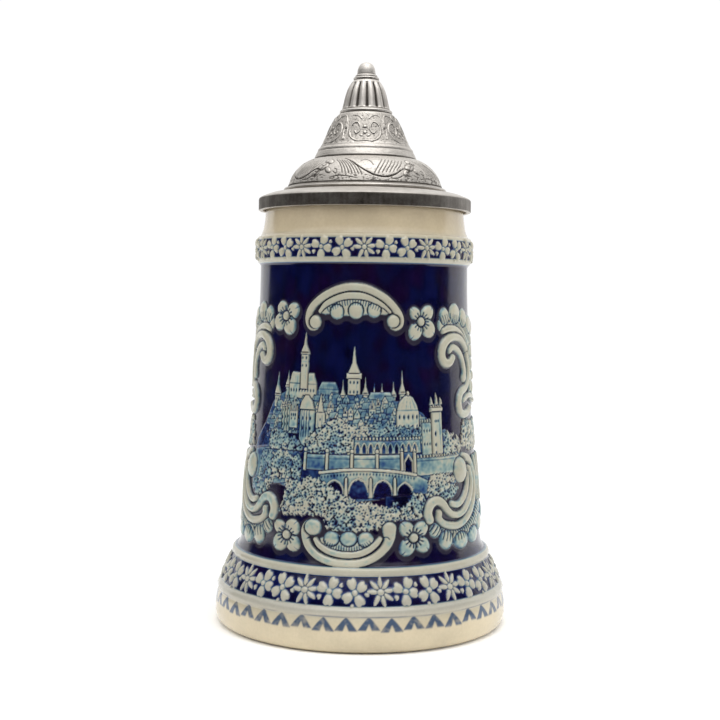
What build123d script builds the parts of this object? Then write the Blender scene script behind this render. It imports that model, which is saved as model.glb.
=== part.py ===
"""Lidded stoneware beer stein, half-litre class, with pewter mounts.

Frame: +Z up, origin on the turning axis at the centre of the foot, in millimetres. The mug's
decorated front faces -Y, the handle and the lid hinge are on the +Y side, X is left to right.
The lid is modelled closed; it swings up and back about the hinge pin, which lies along X.
"""
from build123d import *
import math
import os

os.makedirs("parts", exist_ok=True)

# ---- driving dimensions (mm) -------------------------------------------------------------
LIP_Z = 160.0            # top of the mug's drinking lip
LIP_R = 38.3             # outside radius at the lip
MOUTH_R = 34.0           # inside radius at the mouth
FLOOR_Z = 9.5            # inside floor of the mug
FOOT_R = 52.4            # outer edge of the flat foot ring
FOOT_IN_R = 47.4         # inner edge of the flat foot ring
RECESS_Z = 3.4           # depth of the hollow under the mug
WIDEST_R = 56.3          # widest radius of the foot

HANDLE_W, HANDLE_T = 18.0, 10.0      # handle strap section, width along X and thickness
HANDLE_R = 4.2                        # corner radius of that section
HANDLE_Z = 143.2                      # centreline of the handle's straight top run
HANDLE_Y = 60.0                       # where the straight run ends

STRAP_Y0, STRAP_Y1 = 49.4, 56.6       # pewter strap along the handle
STRAP_T = 1.3                         # its thickness

AXIS_Y, AXIS_Z = 53.0, 162.0          # hinge pin axis
BARREL_R = 3.4                        # hinge knuckle radius
PIN_R = 1.4                           # hinge pin radius
RUN = 0.06                            # radial running clearance of the pin in the lid's knuckles
KN_W, KN_GAP = 3.7, 0.3               # knuckle width and the gap between knuckles
CAP_T = 1.4                           # pin end caps

FLANGE_R = 41.0                       # lid rim radius
SKIRT_Z = 158.4                       # lower edge of the lid's rim
SEAT_Z = 160.25                       # underside of the lid over the lip
CONE_R = 19.7                         # joint between the lid's domed base and its cone
TOP_Z = 216.0                         # tip of the finial
FLUTES = 14

kn_pitch = KN_W + KN_GAP
kn_x = [(i - 2) * kn_pitch for i in range(5)]

# ---- mug body -----------------------------------------------------------------------------
# Turned outside: foot, triangle band, bead, lower flower band, bead, tapering wall, upper flower band, neck, lip.
wall_low = [(48.0, 29.7), (46.9, 32.2), (46.3, 36.0), (45.9, 42.0), (45.3, 50.0), (44.4, 60.0), (43.3, 70.0),
            (42.4, 80.0), (41.8, 90.0), (41.3, 100.0), (40.85, 110.0), (40.4, 120.0), (40.1, 129.0), (40.0, 137.2)]
inner = [(33.9, 157.0), (34.2, 130.0), (34.9, 110.0), (36.0, 85.0), (37.4, 65.0), (39.1, 45.0), (40.2, 30.0), (40.6, 22.0)]
NECK_Z = 157.6           # where the neck rounds over into the lip


def outer_lines():
    Line((FOOT_R, 0), (53.6, 0.25))
    Spline((53.6, 0.25), (55.5, 1.7), (WIDEST_R, 4.8), (56.15, 9.0), (55.7, 11.6), (55.2, 12.8), tangents=((1, 0.35), (-0.4, 1)))
    ThreePointArc((55.2, 12.8), (55.65, 14.5), (54.8, 16.2))
    Line((54.8, 16.2), (54.2, 16.5))
    Spline((54.2, 16.5), (52.9, 20.0), (51.1, 24.0), (49.8, 26.6))
    ThreePointArc((49.8, 26.6), (50.1, 28.1), (48.9, 29.5))
    Line((48.9, 29.5), wall_low[0])
    Spline(*wall_low)
    ThreePointArc(wall_low[-1], (40.7, 138.2), (41.4, 139.4))
    Line((41.4, 139.4), (41.4, 147.2))
    ThreePointArc((41.4, 147.2), (41.1, 148.1), (40.1, 148.6))
    Spline((40.1, 148.6), (39.2, 151.0), (38.6, 154.4), (LIP_R, NECK_Z))


with BuildPart() as mug_body:
    with BuildSketch(Plane.XZ):
        with BuildLine():
            outer_lines()
            ThreePointArc((LIP_R, NECK_Z), (37.8, 159.2), (36.6, LIP_Z))
            Line((36.6, LIP_Z), (35.4, LIP_Z))
            ThreePointArc((35.4, LIP_Z), (34.35, 159.1), (33.9, 157.0))
            Spline(*inner)
            Spline((40.6, 22.0), (39.4, 14.5), (33.5, 10.4), (28.0, FLOOR_Z), tangents=((0, -1), (-1, 0)))
            Line((28.0, FLOOR_Z), (0, FLOOR_Z))
            Line((0, FLOOR_Z), (0, RECESS_Z))
            Line((0, RECESS_Z), (FOOT_IN_R - 2.0, RECESS_Z))
            Line((FOOT_IN_R - 2.0, RECESS_Z), (FOOT_IN_R, 0))
            Line((FOOT_IN_R, 0), (FOOT_R, 0))
        make_face()
    revolve(axis=Axis.Z)

# The same outside as a filled solid, used to trim what is luted on to the wall.
with BuildPart() as mug_filled:
    with BuildSketch(Plane.XZ):
        with BuildLine():
            outer_lines()
            Line((LIP_R, NECK_Z), (0, NECK_Z))
            Line((0, NECK_Z), (0, 0))
            Line((0, 0), (FOOT_R, 0))
        make_face()
    revolve(axis=Axis.Z)

# ---- handle ---------------------------------------------------------------------------------
# Its centreline: a straight run out from the wall, then three tangent arcs down to the lower joint.
handle_arcs = [(20.0, 85), (62.0, 40), (75.0, 27)]      # radius and turn of each arc
with BuildPart() as handle:
    with BuildLine(Plane.YZ) as handle_path:
        run = Line((36.6, HANDLE_Z), (HANDLE_Y, HANDLE_Z))
        arc_1 = JernArc(start=run @ 1, tangent=run % 1, radius=handle_arcs[0][0], arc_size=-handle_arcs[0][1])
        arc_2 = JernArc(start=arc_1 @ 1, tangent=arc_1 % 1, radius=handle_arcs[1][0], arc_size=-handle_arcs[1][1])
        arc_3 = JernArc(start=arc_2 @ 1, tangent=arc_2 % 1, radius=handle_arcs[2][0], arc_size=-handle_arcs[2][1])
        Line(arc_3 @ 1, arc_3 @ 1 + (arc_3 % 1) * 4.0)
    with BuildSketch(Plane(origin=(0, 36.6, HANDLE_Z), x_dir=(1, 0, 0), z_dir=(0, 1, 0))):
        RectangleRounded(HANDLE_W, HANDLE_T, HANDLE_R)
    sweep()
    add(mug_filled.part, mode=Mode.SUBTRACT)

# ---- pewter strap round the handle -----------------------------------------------------------
with BuildPart() as handle_strap:
    with BuildSketch(Plane(origin=(0, STRAP_Y0, HANDLE_Z), x_dir=(1, 0, 0), z_dir=(0, 1, 0))):
        RectangleRounded(HANDLE_W + 2 * STRAP_T, HANDLE_T + 2 * STRAP_T, HANDLE_R + STRAP_T)
        RectangleRounded(HANDLE_W, HANDLE_T, HANDLE_R, mode=Mode.SUBTRACT)
    extrude(amount=STRAP_Y1 - STRAP_Y0)
    outer = handle_strap.faces().filter_by(Axis.Y).edges().filter_by(
        lambda e: abs(e.center().X) > HANDLE_W / 2 + STRAP_T - 0.01 or abs(e.center().Z - HANDLE_Z) > HANDLE_T / 2 + STRAP_T - 0.01)
    fillet(outer, 0.45)

# ---- hinge shank, standing on the strap, with the three fixed knuckles ------------------------
strap_top = HANDLE_Z + HANDLE_T / 2 + STRAP_T
with BuildPart() as hinge_shank:
    # flared plate, seen from the front
    with BuildSketch(Plane.XZ.offset(-(AXIS_Y - 2.6))):
        with BuildLine():
            Polyline((-5.0, strap_top), (-4.0, AXIS_Z - 9.6), (-4.6, AXIS_Z - 7.2), (-9.85, AXIS_Z - 5.1), (-9.85, AXIS_Z - 3.9),
                     (9.85, AXIS_Z - 3.9), (9.85, AXIS_Z - 5.1), (4.6, AXIS_Z - 7.2), (4.0, AXIS_Z - 9.6), (5.0, strap_top), close=True)
        make_face()
    extrude(amount=-5.2)
    # low foot that spreads on the strap
    with BuildSketch(Plane.XY.offset(strap_top)):
        with Locations((0, AXIS_Y)):
            RectangleRounded(13.0, 6.4, 2.0)
    extrude(amount=1.1)
    # webs up to the knuckles, then the knuckles
    with Locations(*[(x, AXIS_Y, AXIS_Z - 1.95) for x in kn_x[::2]]):
        Box(KN_W, 2 * BARREL_R - 0.6, 3.9)
    with Locations(*[Location((x, AXIS_Y, AXIS_Z), (0, 90, 0)) for x in kn_x[::2]]):
        Cylinder(BARREL_R, KN_W)
    with Locations(Location((0, AXIS_Y, AXIS_Z), (0, 90, 0))):
        Cylinder(PIN_R, 40, mode=Mode.SUBTRACT)

# ---- hinge pin and its two end caps -------------------------------------------------------------
pin_half = 2.5 * KN_W + 2 * KN_GAP
with BuildPart() as hinge_pin:
    with Locations(Location((0, AXIS_Y, AXIS_Z), (0, 90, 0))):
        Cylinder(PIN_R, 2 * pin_half)

with BuildPart() as hinge_pin_caps:
    with BuildSketch(Plane(origin=(pin_half, AXIS_Y, AXIS_Z), x_dir=(0, 1, 0), z_dir=(1, 0, 0))):
        Circle(BARREL_R - 0.5)
    extrude(amount=CAP_T)
    fillet(hinge_pin_caps.edges().filter_by(GeomType.CIRCLE).sort_by(Axis.X)[-1], 0.9)
    mirror(about=Plane.YZ)

# ---- lid: domed base with its rim ------------------------------------------------------------------
DOME_Z = 178.3    # top edge of the dome, where the cone is soldered in
with BuildPart() as lid_base:
    with BuildSketch(Plane.XZ):
        with BuildLine():
            Line((39.3, SKIRT_Z), (FLANGE_R - 0.3, SKIRT_Z))
            ThreePointArc((FLANGE_R - 0.3, SKIRT_Z), (FLANGE_R - 0.09, SKIRT_Z + 0.09), (FLANGE_R, SKIRT_Z + 0.3))
            Line((FLANGE_R, SKIRT_Z + 0.3), (FLANGE_R, 162.5))
            ThreePointArc((FLANGE_R, 162.5), (40.7, 163.2), (39.9, 163.7))
            Spline((39.9, 163.7), (36.4, 165.0), (32.6, 165.7))
            Line((32.6, 165.7), (30.8, 165.7))
            ThreePointArc((30.8, 165.7), (31.45, 166.6), (30.5, 167.4))
            Line((30.5, 167.4), (29.9, 167.7))
            Spline((29.9, 167.7), (29.1, 170.0), (28.2, 172.0), (26.8, 174.0), (24.8, 176.0), (22.8, 177.3), (21.1, 178.1), (CONE_R, DOME_Z))
            Line((CONE_R, DOME_Z), (CONE_R, DOME_Z - 1.9))
            Spline((CONE_R, DOME_Z - 1.9), (23.3, 174.7), (26.1, 171.6), (27.7, 167.6), (29.4, 164.2))
            Line((29.4, 164.2), (33.2, 163.5))
            Line((33.2, 163.5), (33.6, SEAT_Z))
            Line((33.6, SEAT_Z), (39.3, SEAT_Z))
            Line((39.3, SEAT_Z), (39.3, SKIRT_Z))
        make_face()
    revolve(axis=Axis.Z)

with BuildPart() as lid_filled:
    with BuildSketch(Plane.XZ):
        with BuildLine():
            Line((0, SKIRT_Z), (FLANGE_R - 0.3, SKIRT_Z))
            ThreePointArc((FLANGE_R - 0.3, SKIRT_Z), (FLANGE_R - 0.09, SKIRT_Z + 0.09), (FLANGE_R, SKIRT_Z + 0.3))
            Line((FLANGE_R, SKIRT_Z + 0.3), (FLANGE_R, 162.5))
            ThreePointArc((FLANGE_R, 162.5), (40.7, 163.2), (39.9, 163.7))
            Spline((39.9, 163.7), (36.4, 165.0), (32.6, 165.7))
            Line((32.6, 165.7), (30.8, 165.7))
            ThreePointArc((30.8, 165.7), (31.45, 166.6), (30.5, 167.4))
            Line((30.5, 167.4), (29.9, 167.7))
            Spline((29.9, 167.7), (29.1, 170.0), (28.2, 172.0), (26.8, 174.0), (24.8, 176.0), (22.8, 177.3), (21.1, 178.1), (CONE_R, DOME_Z))
            Line((CONE_R, DOME_Z), (0, DOME_Z))
            Line((0, DOME_Z), (0, SKIRT_Z))
        make_face()
    revolve(axis=Axis.Z)

# ---- lid: hollow cone -----------------------------------------------------------------------------
FIN_Z = 196.1     # the finial stands on the cone here
with BuildPart() as lid_cone:
    with BuildSketch(Plane.XZ):
        with BuildLine():
            Line((17.9, DOME_Z - 1.9), (CONE_R, DOME_Z - 1.9))
            Line((CONE_R, DOME_Z - 1.9), (CONE_R, DOME_Z + 0.7))
            Spline((CONE_R, DOME_Z + 0.7), (19.2, 180.2), (18.3, 182.0), (17.0, 184.0), (15.85, 186.0), (14.95, 188.0), (14.15, 190.0), (13.2, 192.0), (12.0, 194.0), (9.9, FIN_Z))
            Line((9.9, FIN_Z), (0, FIN_Z))
            Line((0, FIN_Z), (0, FIN_Z - 1.8))
            Line((0, FIN_Z - 1.8), (8.6, FIN_Z - 1.8))
            Spline((8.6, FIN_Z - 1.8), (11.4, 191.8), (13.0, 188.2), (14.6, 184.6), (16.4, 181.2), (17.9, 178.0))
            Line((17.9, 178.0), (17.9, DOME_Z - 1.9))
        make_face()
    revolve(axis=Axis.Z)

# ---- finial: foot ring, fluted spire, collar and bullet tip ------------------------------------------
with BuildPart() as finial:
    with BuildSketch(Plane.XZ):
        with BuildLine():
            Line((0, FIN_Z), (9.8, FIN_Z))
            ThreePointArc((9.8, FIN_Z), (10.2, FIN_Z + 0.65), (9.8, FIN_Z + 1.3))
            Line((9.8, FIN_Z + 1.3), (9.35, FIN_Z + 1.5))
            Spline((9.35, FIN_Z + 1.5), (8.75, 200.0), (8.3, 202.0), (7.75, 204.0), (7.0, 206.0), (5.8, 208.0), (4.7, 209.2))
            Line((4.7, 209.2), (5.0, 209.6))
            ThreePointArc((5.0, 209.6), (4.85, 210.15), (4.2, 210.3))
            ThreePointArc((4.2, 210.3), (4.25, 210.9), (3.6, 211.3))
            Spline((3.6, 211.3), (3.45, 212.8), (2.8, 214.6), (1.5, 215.7), (0, TOP_Z), tangents=((0.1, 1), (-1, 0)))
            Line((0, TOP_Z), (0, FIN_Z))
        make_face()
    revolve(axis=Axis.Z)
    # flutes: round grooves that follow the spire's slope
    lean = math.degrees(math.atan2(9.3 - 6.6, 207.0 - 198.0))
    with PolarLocations(0, FLUTES, start_angle=-82.5):
        with Locations(Location((7.95, 0, 203.2), (0, -lean, 0))):
            Cylinder(0.75, 9.2, mode=Mode.SUBTRACT)

# ---- tang: arm from the lid's rim to the hinge, with the two moving knuckles ---------------------------
with BuildPart() as lid_tang:
    with BuildSketch(Plane.YZ.offset(-7.6)):
        with BuildLine():
            Polyline((AXIS_Y - BARREL_R - 0.45, AXIS_Z - 1.8), (AXIS_Y - BARREL_R - 0.45, AXIS_Z + 2.4), (43.0, 165.9), (37.0, 167.2),
                     (33.9, 167.5), (33.2, 166.4), (33.4, 164.0), (41.0, AXIS_Z - 1.9), close=True)
        make_face()
    extrude(amount=15.2)
    # plan shape: wide at the hinge, waisted, leaf-shaped on the rim
    with BuildSketch(Plane.XY.offset(150)):
        with BuildLine():
            Polyline((-7.6, 50.0), (-7.6, 46.8), (-5.2, 43.6), (-5.0, 41.5), (-6.6, 38.4), (-5.6, 35.6), (0, 33.3),
                     (5.6, 35.6), (6.6, 38.4), (5.0, 41.5), (5.2, 43.6), (7.6, 46.8), (7.6, 50.0), close=True)
        make_face()
    extrude(amount=30, mode=Mode.INTERSECT)
    # arms back to the knuckles
    with Locations(*[(x, AXIS_Y - 2.6, AXIS_Z + 0.2) for x in kn_x[1::2]]):
        Box(KN_W, 4.6, 3.6)
    with Locations(*[Location((x, AXIS_Y, AXIS_Z), (0, 90, 0)) for x in kn_x[1::2]]):
        Cylinder(BARREL_R, KN_W)
    with Locations(Location((0, AXIS_Y, AXIS_Z), (0, 90, 0))):
        Cylinder(PIN_R + RUN, 40, mode=Mode.SUBTRACT)
    add(lid_filled.part, mode=Mode.SUBTRACT)

# ---- thumb lift: a fan-shaped palmette on a stem, curving back over the hinge -----------------------------
with BuildPart() as thumb_lift:
    with BuildSketch(Plane.YZ.offset(-12)):
        with BuildLine():
            Spline((42.6, 164.2), (43.6, 169.2), (46.2, 175.2), (48.8, 182.2), (49.8, 188.8), (49.4, 193.4))
            Line((49.4, 193.4), (51.4, 194.4))
            Spline((51.4, 194.4), (52.8, 188.2), (52.2, 181.8), (50.2, 174.6), (49.2, 169.4), (48.9, 164.2))
            Line((48.9, 164.2), (42.6, 164.2))
        make_face()
    extrude(amount=24)
    with BuildSketch(Plane.XZ.offset(-40)):
        with BuildLine():
            Polyline((-4.6, 161.2), (-4.6, 167.2))
            Spline((-4.6, 167.2), (-3.4, 170.8), (-4.6, 174.8), (-8.8, 178.6), (-11.0, 183.8), (-9.2, 189.4), (-4.8, 192.8), (0, 194.0),
                   (4.8, 192.8), (9.2, 189.4), (11.0, 183.8), (8.8, 178.6), (4.6, 174.8), (3.4, 170.8), (4.6, 167.2))
            Polyline((4.6, 167.2), (4.6, 161.2), (-4.6, 161.2))
        make_face()
    extrude(amount=-20, mode=Mode.INTERSECT)
    add(lid_tang.part, mode=Mode.SUBTRACT)
    # keep clear of the fixed knuckles
    with Locations(Location((0, AXIS_Y, AXIS_Z), (0, 90, 0))):
        Cylinder(BARREL_R + 0.45, 40, mode=Mode.SUBTRACT)

pieces = {
    "mug_body": mug_body, "handle": handle, "handle_strap": handle_strap, "hinge_shank": hinge_shank,
    "hinge_pin": hinge_pin, "hinge_pin_caps": hinge_pin_caps, "lid_base": lid_base, "lid_cone": lid_cone,
    "finial": finial, "lid_tang": lid_tang, "thumb_lift": thumb_lift,
}
for name, piece in pieces.items():
    piece.part.label = name
    export_step(piece.part, f"parts/{name}.step")
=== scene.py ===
"""Looks of the lidded beer stein: moulded and glazed stoneware with antique pewter mounts.

Everything is drawn here in code: the relief as a height map that is built into the mug's mesh, the glaze
colour from the depth of that relief, and the engraving and flutes of the lid in the same way.
Frame: metres, +Z up, the decorated front faces -Y, the handle and the hinge are on the +Y side.
"""
import math

import bpy
import numpy as np
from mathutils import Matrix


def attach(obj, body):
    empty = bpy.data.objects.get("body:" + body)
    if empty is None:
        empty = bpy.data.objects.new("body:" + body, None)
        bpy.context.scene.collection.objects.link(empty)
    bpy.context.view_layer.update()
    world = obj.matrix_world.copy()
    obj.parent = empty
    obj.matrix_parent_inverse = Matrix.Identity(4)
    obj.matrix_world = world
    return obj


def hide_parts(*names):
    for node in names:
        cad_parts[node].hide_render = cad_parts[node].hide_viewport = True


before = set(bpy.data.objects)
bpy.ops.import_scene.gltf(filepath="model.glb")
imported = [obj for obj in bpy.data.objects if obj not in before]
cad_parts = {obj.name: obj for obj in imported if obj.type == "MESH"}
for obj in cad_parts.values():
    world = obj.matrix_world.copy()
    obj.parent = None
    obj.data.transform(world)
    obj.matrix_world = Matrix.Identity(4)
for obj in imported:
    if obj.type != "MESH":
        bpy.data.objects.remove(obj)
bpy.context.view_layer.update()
MM = 0.001

# ---------------------------------------------------------------- the relief, drawn as a height map
# Angle t is in degrees from the front (-Y) towards +X; z is height in mm. H is how far the relief stands
# out from the turned wall, in mm; W is extra blue wash, 0 to 1. Distances are in mm, with K mm to a degree.
DT, DZ, K = 0.25, 0.2, 0.75
TT = np.arange(-180.0, 180.0, DT) + DT / 2
ZZ = np.arange(0.0, 160.0, DZ) + DZ / 2
H = np.zeros((len(ZZ), len(TT)), np.float32)
W = np.zeros_like(H)
GREY = np.zeros_like(H)
rng = np.random.default_rng(7)


def win(t0, t1, z0, z1, pad=1.6):
    i0, i1 = max(0, int((z0 - pad) / DZ)), min(len(ZZ), int((z1 + pad) / DZ) + 1)
    j0, j1 = max(0, int((t0 - pad / K + 180) / DT)), min(len(TT), int((t1 + pad / K + 180) / DT) + 1)
    return (slice(i0, i1), slice(j0, j1)), TT[None, j0:j1], ZZ[i0:i1, None]


def sm(a, b, x):
    u = np.clip((x - a) / (b - a), 0, 1)
    return u * u * (3 - 2 * u)


def curve(pts, n=7):
    p = np.array(pts, float)
    if len(p) < 3:
        return p
    q = np.vstack([2 * p[0] - p[1], p, 2 * p[-1] - p[-2]])
    out = []
    for i in range(1, len(q) - 2):
        for u in np.arange(n) / n:
            a, b, c, d = q[i - 1], q[i], q[i + 1], q[i + 2]
            out.append(0.5 * (2 * b + (c - a) * u + (2 * a - 5 * b + 4 * c - d) * u * u + (3 * b - a - 3 * c + d) * u ** 3))
    out.append(q[-2])
    return np.array(out)


def sd_line(pts, r, T, Z):
    """Distance outside a stroke whose half width r may vary along it; also the local half width."""
    p = np.array(pts, float)
    r = np.interp(np.linspace(0, 1, len(p)), np.linspace(0, 1, len(r)), r) if np.ndim(r) else np.full(len(p), float(r))
    best = np.full(np.broadcast(T, Z).shape, 1e9)
    rad = np.ones_like(best)
    for i in range(len(p) - 1):
        ax, az = p[i, 0] * K, p[i, 1]
        bx, bz = p[i + 1, 0] * K, p[i + 1, 1]
        dx, dz = bx - ax, bz - az
        L = dx * dx + dz * dz + 1e-9
        u = np.clip(((T * K - ax) * dx + (Z - az) * dz) / L, 0, 1)
        rr = r[i] + (r[i + 1] - r[i]) * u
        d = np.hypot(T * K - ax - u * dx, Z - az - u * dz) - rr
        m = d < best
        best = np.where(m, d, best)
        rad = np.where(m, rr, rad)
    return best, rad


def sd_poly(pts, T, Z):
    p = np.array(pts, float) * [K, 1]
    x, z = np.broadcast_arrays(T * K, Z)
    d = np.full(x.shape, 1e9)
    inside = np.zeros(x.shape, bool)
    for i in range(len(p)):
        a, b = p[i], p[(i + 1) % len(p)]
        e = b - a
        u = np.clip(((x - a[0]) * e[0] + (z - a[1]) * e[1]) / (e @ e + 1e-9), 0, 1)
        d = np.minimum(d, np.hypot(x - a[0] - u * e[0], z - a[1] - u * e[1]))
        c = (a[1] > z) != (b[1] > z)
        with np.errstate(divide="ignore", invalid="ignore"):
            c &= x < (b[0] - a[0]) * (z - a[1]) / (b[1] - a[1] + 1e-12) + a[0]
        inside ^= c
    return np.where(inside, -d, d)


def put(w, d, prof, cut=0.45, wash=None, over=True):
    """Lay a raised shape over what is there, with a narrow valley round it."""
    h = H[w]
    if cut > 0:
        h = h * sm(0.0, cut, np.maximum(d, 0) + 1e-3)
    H[w] = np.where(d < 0, prof if over else np.maximum(prof, h), h)
    if wash is not None:
        W[w] = np.where(d < 0.1, wash, W[w])


def tube(pts, r, h, wash=0.0, cut=0.5, flat=1.35, smooth=True, base=0.0):
    p = curve(pts) if smooth else np.array(pts, float)
    R = float(np.max(r))
    w, T, Z = win(p[:, 0].min() - R / K, p[:, 0].max() + R / K, p[:, 1].min() - R, p[:, 1].max() + R)
    d, rad = sd_line(p, r, T, Z)
    q = np.clip(1 + d / rad, 0, 1)
    prof = base + (h - base) * np.power(np.clip(1 - q ** (2.0 * flat), 0, 1), 0.5)
    put(w, d, prof, cut, wash)


def blob(t, z, rx, rz, h, rot=0.0, wash=0.0, cut=0.35, dip=0.0, over=True):
    R = max(rx, rz)
    w, T, Z = win(t - R / K, t + R / K, z - R, z + R, 0.8)
    c, s = math.cos(math.radians(rot)), math.sin(math.radians(rot))
    x, y = (T - t) * K, Z - z
    u, v = c * x + s * y, -s * x + c * y
    q = np.hypot(u / rx, v / rz)
    d = (q - 1) * min(rx, rz)
    prof = h * np.sqrt(np.clip(1 - q ** 2.6, 0, 1)) - dip * np.exp(-(q / 0.45) ** 2)
    put(w, d, prof, cut, wash, over)


def slab(pts, h, bevel=0.3, wash=0.15, cut=0.35, grad=None):
    p = np.array(pts, float)
    w, T, Z = win(p[:, 0].min(), p[:, 0].max(), p[:, 1].min(), p[:, 1].max(), 1.0)
    d = sd_poly(p, T, Z)
    prof = h * (0.25 + 0.75 * sm(0, bevel, -d))
    if grad is not None:
        wash = wash + (grad - wash) * np.clip((p[:, 1].max() - Z) / (p[:, 1].max() - p[:, 1].min()), 0, 1) + 0 * T
    put(w, d, prof, cut, wash)


def box(t0, t1, z0, z1, h, **k):
    slab([(t0, z0), (t1, z0), (t1, z1), (t0, z1)], h, **k)


def cutline(pts, r, depth, wash=0.0, smooth=True):
    p = curve(pts) if smooth and len(pts) > 2 else np.array(pts, float)
    R = float(np.max(r))
    w, T, Z = win(p[:, 0].min(), p[:, 0].max(), p[:, 1].min(), p[:, 1].max(), R + 0.6)
    d, rad = sd_line(p, r, T, Z)
    f = 1 - sm(-1.0, 0.35, d / np.maximum(rad, 0.05))
    H[w] = np.maximum(H[w] - depth * f, 0.02)
    if wash:
        W[w] = np.maximum(W[w], wash * f)


def hole(t, z, r, depth=0.6, wash=0.9, rz=None):
    rz = rz or r
    w, T, Z = win(t, t, z, z, max(r, rz) * 1.6)
    q = np.hypot((T - t) * K / r, (Z - z) / rz)
    f = np.exp(-(q ** 2) * 1.1)
    H[w] = np.maximum(H[w] - depth * f, 0.02)
    W[w] = np.maximum(W[w], wash * sm(0.25, 0.85, f))


def ticks(pts, n, length, slant, r=0.22, depth=0.55, wash=0.75, smooth=True, start=0.0):
    """Short strokes cut across a line, length mm to its left-hand side, turned by slant degrees."""
    p = curve(pts, 12) if smooth else np.array(pts, float)
    q = p * [K, 1]
    s = np.r_[0, np.cumsum(np.hypot(*np.diff(q, axis=0).T))]
    for u in (np.arange(n) + 0.5) / n:
        a = np.array([np.interp(u * s[-1], s, q[:, i]) for i in (0, 1)])
        b = np.array([np.interp(min(u * s[-1] + 0.3, s[-1]), s, q[:, i]) for i in (0, 1)])
        c = np.array([np.interp(max(u * s[-1] - 0.3, 0), s, q[:, i]) for i in (0, 1)])
        e = (b - c) / (np.hypot(*(b - c)) + 1e-9)
        g = math.radians(90 + slant)
        v = np.array([e[0] * math.cos(g) - e[1] * math.sin(g), e[0] * math.sin(g) + e[1] * math.cos(g)])
        a0, a1 = a + v * start, a + v * length
        cutline([(a0[0] / K, a0[1]), (a1[0] / K, a1[1])], [r, r * 0.5], depth, wash, smooth=False)


# ---- foliage: a broken mass of small leaves with dark eyes ----
def foliage(outline, h=0.95, wash=0.05, eye=0.42, step=1.75, gaps=0.3, seed=0, lift=0.25, dark=0.85):
    g = np.random.default_rng(100 + seed)
    p = np.array(outline, float)
    w, T, Z = win(p[:, 0].min(), p[:, 0].max(), p[:, 1].min(), p[:, 1].max(), 1.0)
    d = sd_poly(p, T, Z)
    # ragged edge
    edge = 0.5 * np.sin(T * 1.3 + 3 * seed) * np.cos(Z * 1.1 + seed) + 0.35 * np.sin(T * 3.1 + Z * 2.3)
    d = d + edge * 0.8
    # domes on a jittered lattice
    x0, x1, z0, z1 = p[:, 0].min() * K, p[:, 0].max() * K, p[:, 1].min(), p[:, 1].max()
    pts = []
    row = 0
    z = z0
    while z < z1 + step:
        x = x0 + (row % 2) * step * 0.5
        while x < x1 + step:
            pts.append((x + g.uniform(-0.42, 0.42) * step, z + g.uniform(-0.42, 0.42) * step, g.uniform(0.75, 1.25)))
            x += step
        z += step * 0.86
        row += 1
    hh = np.zeros(np.broadcast(T, Z).shape)
    ww = np.zeros_like(hh)
    X = T * K + 0 * Z
    Y = Z + 0 * T
    for (x, y, s) in pts:
        rr = step * 0.62 * s
        m = (abs(X[0] - x) < rr + 0.2)
        n = (abs(Y[:, 0] - y) < rr + 0.2)
        if not m.any() or not n.any():
            continue
        ii = np.ix_(n, m)
        a, b = X[ii] - x, Y[ii] - y
        ang = np.arctan2(b, a)
        lob = 1 + 0.16 * np.cos(ang * g.integers(4, 6) + g.uniform(0, 6))
        q = np.hypot(a, b) / (rr * lob)
        dome = (h - lift + g.uniform(0, lift)) * np.sqrt(np.clip(1 - q ** 3, 0, 1))
        if g.uniform() < 0.72:
            e = np.exp(-(np.hypot(a, b) / (eye * g.uniform(0.75, 1.2))) ** 2)
            dome = dome - 0.75 * h * e
            ww[ii] = np.maximum(ww[ii] * (q > 1), dark * sm(0.3, 0.8, e))
        hh[ii] = np.where((dome > hh[ii]) | (q < 0.55), np.maximum(dome, 0.05), hh[ii])
    # gaps
    for _ in range(int(gaps * (x1 - x0) * (z1 - z0) / 6)):
        x, y = g.uniform(x0, x1), g.uniform(z0, z1)
        a, b = g.uniform(0.35, 0.7), g.uniform(0.35, 0.9)
        e = np.exp(-(((X - x) / a) ** 2 + ((Y - y) / b) ** 2))
        hh = hh * (1 - 0.85 * e)
        ww = np.maximum(ww, 0.9 * sm(0.4, 0.9, e))
    inside = d < 0
    H[w] = np.where(inside, np.maximum(hh, 0.08), H[w] * sm(0, 0.35, np.maximum(d, 0) + 1e-3))
    W[w] = np.where(inside, np.maximum(ww, wash), W[w])


def spire(t, z0, z1, r, h=0.75, wash=0.08):
    slab([(t - r, z0), (t + r, z0), (t + 0.12, z1), (t - 0.12, z1)], h, 0.25, wash, 0.35)


def pinnacle(t, z0, zs, z1, r, h=0.8, wash=0.05):
    box(t - r, t + r, z0, zs, h, bevel=0.25, wash=wash, cut=0.3)
    slab([(t - r * 1.25, zs), (t + r * 1.25, zs), (t + 0.15, z1), (t - 0.15, z1)], h, 0.25, wash, 0.3)


# ================================================================= the front panel: an invented hill town
def windows(t0, t1, z, n, a=0.3, b=0.55, dark=0.9):
    for t in np.linspace(t0, t1, n):
        hole(t, z, a, 0.55, dark, b)


def merlons(t0, t1, z, step=1.7, h=0.95, size=1.1, wash=0.05):
    for t in np.arange(t0, t1, step):
        box(t, t + step * 0.58, z - 0.3, z + size, h, bevel=0.18, wash=wash, cut=0.25)


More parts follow.
